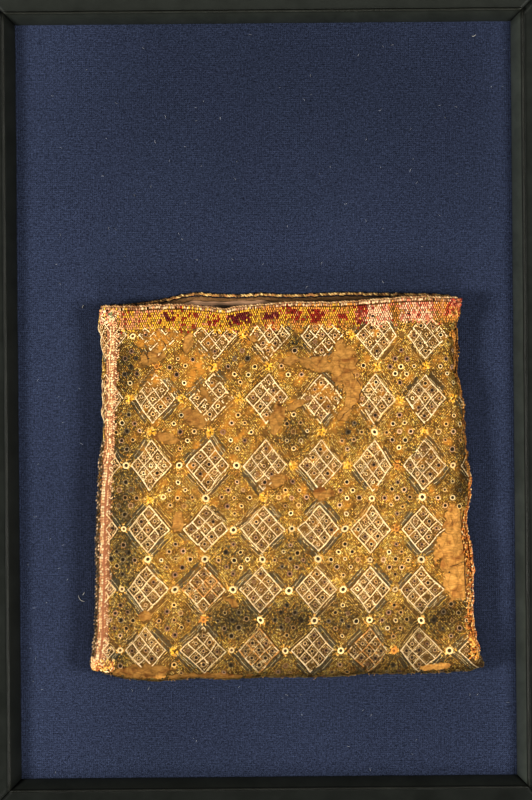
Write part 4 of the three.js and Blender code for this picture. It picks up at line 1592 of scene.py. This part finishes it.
def left_braid_ground():
    """The flat woven ground of the left braid."""
    y = np.linspace(LEFT_BRAID["y"][0], LEFT_BRAID["y"][-1], 120)[:, None]
    share = np.linspace(-0.5, 0.5, 9)[None]
    s = left_braid_middle(y) + share * smooth(LEFT_BRAID, "y", "width", y)
    points, _, _, out = purse_frame(s, np.broadcast_to(y, s.shape))
    upper = points + out * (GAP + 0.35 * np.cos(share * np.pi))[..., None]
    brown = display(BRAID_GROUND)
    return closed_sheet(upper, points - 0.1 * out, brown, brown, open_ends=True)


def add_left_braid():
    """Edge bumps, a double cream line and slanting stitches, on a flat woven ground."""
    parts = [left_braid_ground()]
    for column, inset in enumerate((-1.9, -0.6, 0.7, 1.9)):
        t = np.arange(-105.5 + 0.7 * column, -15, SEAM_PITCH["bead"])
        s = strayed(left_edge(t) + inset, 0.12)
        s, t = kept((s < left_braid_middle(t) - 1.3) & (RANDOM.random(len(t)) > 0.05), s, t)
        sizes = drawn(len(t), (0.5, 0.75), (0.34, 0.5), 0.45)
        lean = RANDOM.normal(0.9, 0.25, len(t))
        parts.append(braid_row(s, t, lean, sizes, shades(SEAM_SILKS["bead"], len(t)), 0.4))
    t = np.arange(-14, 36.2, SEAM_PITCH["bump"])
    keep = RANDOM.random(len(t)) < 0.5
    tints = shades(SEAM_SILKS["bump"], len(t))
    parts.append(braid_row(*kept(keep, left_edge(t) + 0.2, t), 0.5, (0.5, 0.4, 0.4), tints[keep], 0.3))
    t = np.arange(-103.8, 36.4, SEAM_PITCH["line"])
    lower = np.clip((-18 - t) / 14, 0, 1)
    for offset, lift in ((-0.34, 0.72), (0.34, 0.76)):
        sizes = drawn(len(t), (0.55, 0.72), 0.42, 0.36)
        s = left_braid_middle(t) - 0.7 * lower + offset * (1.2 - 0.3 * lower)
        s = s + RANDOM.normal(0, 0.1, len(t)) * (1.6 - lower)
        keep = RANDOM.random(len(t)) > 0.04
        lean = RANDOM.normal(0.16, 0.14, keep.sum())
        tints = (0.94 - 0.16 * lower)[:, None] * shades(SEAM_SILKS["cream"], len(t))
        parts.append(braid_row(*kept(keep, s, t), lean, *kept(keep, sizes, tints), lift))
    t = np.arange(-103.8, 36.4, SEAM_PITCH["slant"])
    middle = left_braid_middle(t)
    dim = (0.94 - 0.16 * np.clip((-18 - t) / 14, 0, 1))[:, None]
    for offset, lean, gaps in ((1.0, 0.75, 0.1), (1.85, -0.75, 0.2), (2.7, 0.7, 0.66)):
        keep = RANDOM.random(len(t)) > gaps
        tints = dim * shades(SEAM_SILKS["warm"], len(t))
        parts.append(braid_row(*kept(keep, middle + offset, t), lean, (0.62, 0.3, 0.3), tints[keep], 0.62))
    keep = RANDOM.random(len(t)) > 0.25
    tints = shades(SEAM_SILKS["russet"], keep.sum())
    parts.append(braid_row(*kept(keep, middle - 1.5, t), 0.6, (0.5, 0.28, 0.28), tints, 0.5))
    add_mesh("left_braid_stitches", join(parts), CREAM, ["seam_braid_left"])


# Rows of loosened stitches on the right braid: how far up a bulge they lie, and how far to the side
LOOSENED = ((0.1, -1.0), (0.2, -0.4), (0.35, 0.1), (0.5, 0.3), (0.65, -0.3), (0.8, 0.0), (0.9, 0.6))


def two_shades(chosen, name, other):
    """Shades of one list of seam silks where chosen, and of the other list elsewhere."""
    return np.where(chosen[:, None], *(shades(SEAM_SILKS[key], len(chosen)) for key in (name, other)))


def add_right_braid():
    """Gold, orange and pink stitches over the right seam, with broken cream ones on its outer line."""
    bend = (PURSE["side_round"] + PURSE["thickness"] / 2) / 2
    y = np.arange(RIGHT_BRAID["y"][0], RIGHT_BRAID["y"][-1], SEAM_PITCH["slant"])
    turn = np.radians(smooth(RIGHT_BRAID, "y", "turn", y))
    middle = right_edge(y) - PURSE["side_round"] + bend * (math.pi / 2 - turn)
    lower = np.clip((-24 - y) / 16, 0, 1)
    proud = ovals(BULGES, y, 0.0, "proud")
    count = len(y)
    parts = []
    for offset, lean, gaps in ((-2.6, 0.5, 0.5), (-1.7, -0.6, 0.2), (-0.75, 0.7, 0.05), (0.75, -0.7, 0.05)):
        keep = RANDOM.random(count) > gaps
        tints = two_shades(lower > 0.4, "orange", "dull")
        sizes = drawn(count, (0.6, 0.85), (0.32, 0.42), 0.42)
        lift = 0.5 if offset < -1 else (0.8 + 0.35 * ripple(y, offset, 4.0, 19) + proud)[keep]
        s, at, sizes, tints = kept(keep, middle + offset, y, sizes, tints)
        s = strayed(s, 0.15)
        parts.append(braid_row(s, at, lean + RANDOM.normal(0, 0.25, len(s)), sizes, tints, lift))
    for share, offset in LOOSENED:
        keep = proud * RANDOM.random(count) > 0.25
        sizes = drawn(count, (0.6, 0.85), 0.42, 0.45)
        tints = two_shades(lower > 0.4, "orange", "dull")
        lean = RANDOM.normal(0, 0.6, keep.sum())
        s, at, sizes, tints, lift = kept(keep, middle + offset, y, sizes, tints, 0.6 + share * proud)
        parts.append(braid_row(s, at, lean, sizes, tints, lift))
    tints = two_shades(lower > 0.3, "pale", "dull")
    sizes = drawn(count, (0.5, 0.7), 0.3, 0.34)
    keep = RANDOM.random(count) < np.where(lower > 0.3, 0.72, 0.25)
    zigzag = 0.5 * np.where(np.arange(count) % 2, 1, -1)
    s, at, lean, sizes, tints, lift = kept(keep, middle - 0.1, y, zigzag, sizes, tints, 1.1 + proud)
    parts.append(braid_row(strayed(s, 0.2), at, lean, sizes, tints, lift))
    add_mesh("right_braid_stitches", join(parts), CREAM, ["seam_braid_right"])


# Knots and bars of stitches at the corners: middle, half sizes, number of stitches, lift and silks
CORNERS = (
    (-66.3, -105.6, 4.8, 2.4, 150, 0.45, "ochre"),
    (-70.2, -104.6, 1.2, 2.4, 40, 0.5, "cream"),
    (-63.6, 33.6, 2.6, 2.8, 80, 0.7, "salmon"),
    (-61.6, 34.4, 0.6, 1.4, 8, 0.95, "green"),
    (76.8, 38.2, 2.6, 1.7, 60, 0.8, "red"),
    (75.8, 35.0, 2.4, 2.0, 50, 0.7, "orange"),
    (82.4, -99.6, 1.9, 4.6, 90, 0.6, "gold"),
    (82.4, -67.2, 1.2, 2.6, 40, 1.5, "apricot"),
)
CORNER_SILKS = {
    "ochre": ((206, 146, 64), (186, 98, 50), (222, 180, 92), (140, 90, 44), (236, 200, 146)),
    "cream": ((244, 208, 150), (228, 176, 118), (206, 150, 96)),
    "salmon": ((236, 196, 146), (214, 140, 104), (222, 176, 92), (240, 206, 160), (190, 110, 84)),
    "green": ((60, 84, 62), (90, 104, 66), (70, 40, 60)),
    "red": ((180, 60, 40), (196, 100, 56), (170, 84, 54), (206, 134, 90), (120, 40, 32)),
    "orange": ((206, 142, 62), (186, 116, 50), (196, 96, 60), (220, 168, 90)),
    "gold": ((222, 160, 64), (204, 128, 50), (236, 190, 96), (170, 104, 46)),
    "apricot": ((232, 160, 84), (206, 120, 60), (246, 214, 160), (150, 92, 46)),
}


def add_corners():
    parts = []
    for x, y, half_width, half_height, count, lift, silks in CORNERS:
        s = x + half_width * RANDOM.uniform(-1, 1, count)
        t = y + half_height * RANDOM.uniform(-1, 1, count)
        s, t = kept((t > foot_edge(s) - 1.5) & (t < top_edge(1, s) + 0.6), s, t)
        wide = RANDOM.uniform(0.28, 0.4, len(s))
        sizes = drawn(len(s), (0.5, 0.85), wide, 0.34)
        lean = RANDOM.normal(0.5, 0.8, len(s))
        tints = shades(CORNER_SILKS[silks], len(s))
        parts.append(braid_row(s, t, lean, sizes, tints, lift + RANDOM.uniform(-0.2, 0.3, len(s))))
    add_mesh("corner_stitches", join(parts), CREAM)


# Fibres
# Lint that the photograph shows on the blue cloth: middle, turn and length
LINT = table(
    "x y turn length",
    (-74.6, -78.9, -45, 3.6),
    (-73.2, 38.2, 70, 1.4),
    (-73.8, -77, 60, 1.4),
    (84.5, 145.5, 20, 1.6),
)


LINT_COUNT, LINT_PALE = 110, (196, 190, 176)
LINT_REACH = (97, 149)
LOOSE_COUNTS = {"foot": 90, "sides": 110, "worn": 140}
LOOSE_SILKS = {"foot": (176, 126, 62), "sides": (206, 166, 110), "worn": (168, 112, 50)}


def fibre(x, y, z, turn, length, radius, colour):
    """A short curled fibre lying at a height."""
    t = np.linspace(-0.5, 0.5, 7)
    curl = RANDOM.uniform(-0.25, 0.25) * length
    along, over = t * length, curl * (t**2 - 0.25) * 4
    path = points_at(
        x + along * math.cos(turn) - over * math.sin(turn),
        y + along * math.sin(turn) + over * math.cos(turn),
        z + 0.12 * np.abs(np.sin(6 * t + turn)),
    )
    return tube(path, radius * (1 - 1.4 * t**2), display(colour), 4)


# Dark colours painted as shade in cracks, creases and holes.
CRACK_SHADE, PIT_SHADE = (58, 34, 16), (24, 16, 12)
# Dark lines on the purse, painted shade in cracks and folds and in part dark threads: from one end to the
# other, and half thickness
CRACKS = table(
    "x0 y0 x1 y1 radius",
    (66.9, -69, 72.2, -67.8, 0.12),
    (72.2, -67.8, 78.6, -65.3, 0.1),
    (77.2, -45.5, 78.4, -62, 0.2),
    (78.4, -62, 79.2, -80, 0.22),
    (73.6, -47, 73.9, -52, 0.08),
    (68, -52.4, 73, -54, 0.09),
    (-15, 29.6, -8.4, 25.6, 0.2),
    (-8.4, 25.6, -3.8, 22.2, 0.26),
    (-3.8, 22.2, 3.4, 21, 0.2),
    (-47.6, 21.2, -46.8, 15, 0.16),
    (-42, 25.4, -38.6, 19, 0.12),
    (38.6, 19, 36.2, 11, 0.12),
    (16, 16.6, 25, 18.2, 0.14),
    (34.3, 11.4, 38.2, 4.6, 0.14),
    (38.2, 4.6, 37, -1.2, 0.15),
    (37, -1.2, 33.1, -4.1, 0.12),
    (33.1, -4.1, 28.8, -8.4, 0.12),
    (-24.6, -1.6, -21.6, -9.6, 0.12),
    (66.6, -47.4, 64, -58, 0.1),
)
HOLES = table(
    "x y radius lift",
    (73.6, -67.4, 0.75, 0.04),
    (72.6, -69.4, 0.4, 0.04),
    (-46.9, 17, 0.5, 0.04),
    (11, 22.6, 0.8, 0.04),
    (42.9, 33.2, 0.65, 0.95),
    (57.2, 33.9, 0.55, 0.95),
)


def add_cracks():
    """Dark lines and small dark holes where the linen is split or creased: painted shade in the splits,
    creases and holes.
    """
    parts = []
    for x0, y0, x1, y1, radius in zip(*CRACKS.values()):
        share = np.linspace(0, 1, 14)
        x = x0 + (x1 - x0) * share + 0.35 * ripple(share * 9 + x0, y0, 3.0, 95)
        y = y0 + (y1 - y0) * share + 0.35 * ripple(share * 9 + y0, x0, 3.0, 96)
        thick = radius * (0.35 + np.sin(np.pi * share)) * (1 + 0.4 * ripple(share * 9, x0, 2.0, 97))
        parts.append(tube(front_point(x, y, 0.02), thick, display(CRACK_SHADE)))
    for x, y, radius, lift in zip(*HOLES.values()):
        centre = front_point(np.array([x]), np.array([y]), lift)
        east, north = np.array([[1.0, 0.0, 0.0]]), np.array([[0.0, 0.0, 1.0]])
        sizes = (radius, radius * 0.7, 0.1)
        parts.append(scatter(spindle(9, 3, 1.0), centre, east, north, sizes, display(PIT_SHADE)))
    add_mesh("cracks", join(parts), CREAM)


def add_lint():
    """Lint on the blue cloth."""
    parts = []
    for x, y, turn, length in zip(*LINT.values()):
        parts.append(fibre(x, y, CLOTH["top"] + 0.12, math.radians(turn), length, 0.11, LINT_PALE))
    while len(parts) < LINT_COUNT:
        x, y = (RANDOM.uniform(-reach, reach) for reach in LINT_REACH)
        under_purse = -74 < x < 90 and -114 < y < 44
        if under_purse:
            continue
        tone = RANDOM.integers(100, 170)
        length = RANDOM.uniform(0.5, 1.5)
        turn, radius = RANDOM.uniform(0, 3.1), RANDOM.uniform(0.05, 0.08)
        parts.append(fibre(x, y, CLOTH["top"] + 0.1, turn, length, radius, (tone, tone + 2, tone + 8)))
    add_mesh("lint_fibres", join(parts), CREAM)


def add_loose_threads():
    """Loose ends along the purse's foot, at its sides and round its worn places."""
    parts = []
    for _ in range(LOOSE_COUNTS["foot"]):
        x = RANDOM.uniform(-68, 84)
        y, z = foot_edge(x) + RANDOM.uniform(-0.3, 0.8), RANDOM.uniform(18.5, 24)
        turn, length = RANDOM.uniform(0, 3.1), RANDOM.uniform(0.8, 2.2)
        parts.append(fibre(x, y, z, turn, length, 0.07, LOOSE_SILKS["foot"]))
    for _ in range(LOOSE_COUNTS["sides"]):
        y = RANDOM.uniform(-104, 34)
        x = right_edge(y) - 0.2 if RANDOM.random() < 0.7 else left_edge(y) + 0.2
        z = RANDOM.uniform(18.5, 24.5)
        turn, length = RANDOM.uniform(0, 3.1), RANDOM.uniform(0.7, 2.0)
        parts.append(fibre(x, y, z, turn, length, 0.07, LOOSE_SILKS["sides"]))
    for _ in range(LOOSE_COUNTS["worn"]):
        k = RANDOM.integers(0, len(WORN["x"]))
        x = WORN["x"][k] + RANDOM.normal(0, 0.7) * WORN["length"][k] * 0.8
        y = WORN["y"][k] + RANDOM.normal(0, 0.7) * WORN["width"][k]
        if abs(worn(x, y)) > 0.4 or y > 28 or not -60 < x < 78 or y < foot_edge(x) + 2:
            continue
        z = face_height(1, x, y) + 0.1
        colour = RANDOM.choice([0.5, 0.8, 1.1]) * np.array(LOOSE_SILKS["worn"])
        turn, length = RANDOM.uniform(0, 3.1), RANDOM.uniform(0.8, 2.0)
        parts.append(fibre(x, y, z, turn, length, 0.09, colour))
    add_mesh("loose_threads", join(parts), CREAM)


# Room
CAMERA_HEIGHT = 2.5
SHOWN_HEIGHT = 0.320
PICTURE_TURN = 0.0087
FOCUS_HEIGHT = 0.022
# Name, x, y, z and size in metres, watts and colour of each lamp
LAMPS = (
    ("lamp_left", -1.92, -0.22, 1.40, 0.6, 80.0, (1.0, 0.985, 0.96)),
    ("lamp_right", 1.80, -0.22, 1.64, 0.8, 74.0, (1.0, 0.985, 0.96)),
    ("lamp_below", 0.10, -1.85, 1.35, 0.9, 32.0, (1.0, 0.985, 0.96)),
    ("gloss_top", 0.05, 0.80, 1.25, 0.35, 7.0, (1.0, 1.0, 0.90)),
)
AMBIENT = 0.015


def add_room():
    bpy.ops.mesh.primitive_plane_add(size=6.0, location=(0, 0, 0))
    floor = bpy.context.object
    floor.name = "floor"
    floor.data.materials.append(floor_material())
    for name, x, y, z, size, watts, colour in LAMPS:
        data = bpy.data.lights.new(name, "AREA")
        data.shape, data.size, data.energy, data.color = "DISK", size, watts, colour
        lamp = bpy.data.objects.new(name, data)
        lamp.location = (x, y, z)
        lamp.visible_diffuse = not name.startswith("gloss")
        lamp.rotation_euler = Vector((-x, -y, -z)).to_track_quat("-Z", "Y").to_euler()
        bpy.context.scene.collection.objects.link(lamp)
    world = bpy.data.worlds.new("studio")
    world.use_nodes = True
    background = world.node_tree.nodes["Background"]
    background.inputs["Color"].default_value = (0.92, 0.96, 1.0, 1)
    background.inputs["Strength"].default_value = AMBIENT
    bpy.context.scene.world = world


def add_camera():
    data = bpy.data.cameras.new("photo_camera")
    data.sensor_width = 36.0
    data.lens = data.sensor_width * (CAMERA_HEIGHT - FOCUS_HEIGHT) / SHOWN_HEIGHT
    data.clip_start, data.clip_end = 0.05, 20.0
    camera = bpy.data.objects.new("photo_camera", data)
    camera.location = (0, 0, CAMERA_HEIGHT)
    camera.rotation_euler = (0, 0, -PICTURE_TURN)
    bpy.context.scene.collection.objects.link(camera)
    bpy.context.scene.camera = camera
    bpy.context.scene.view_settings.view_transform = "Standard"
    bpy.context.scene.view_settings.gamma = FILM


add_camera()
add_room()
add_frame()
add_mount()
add_purse_cloth()
add_lining()
add_ground_stitches()
add_lozenge_lines()
add_rings()
add_marks()
add_band()
add_rim_cords()
add_left_braid()
add_right_braid()
add_corners()
add_cracks()
add_lint()
add_loose_threads()
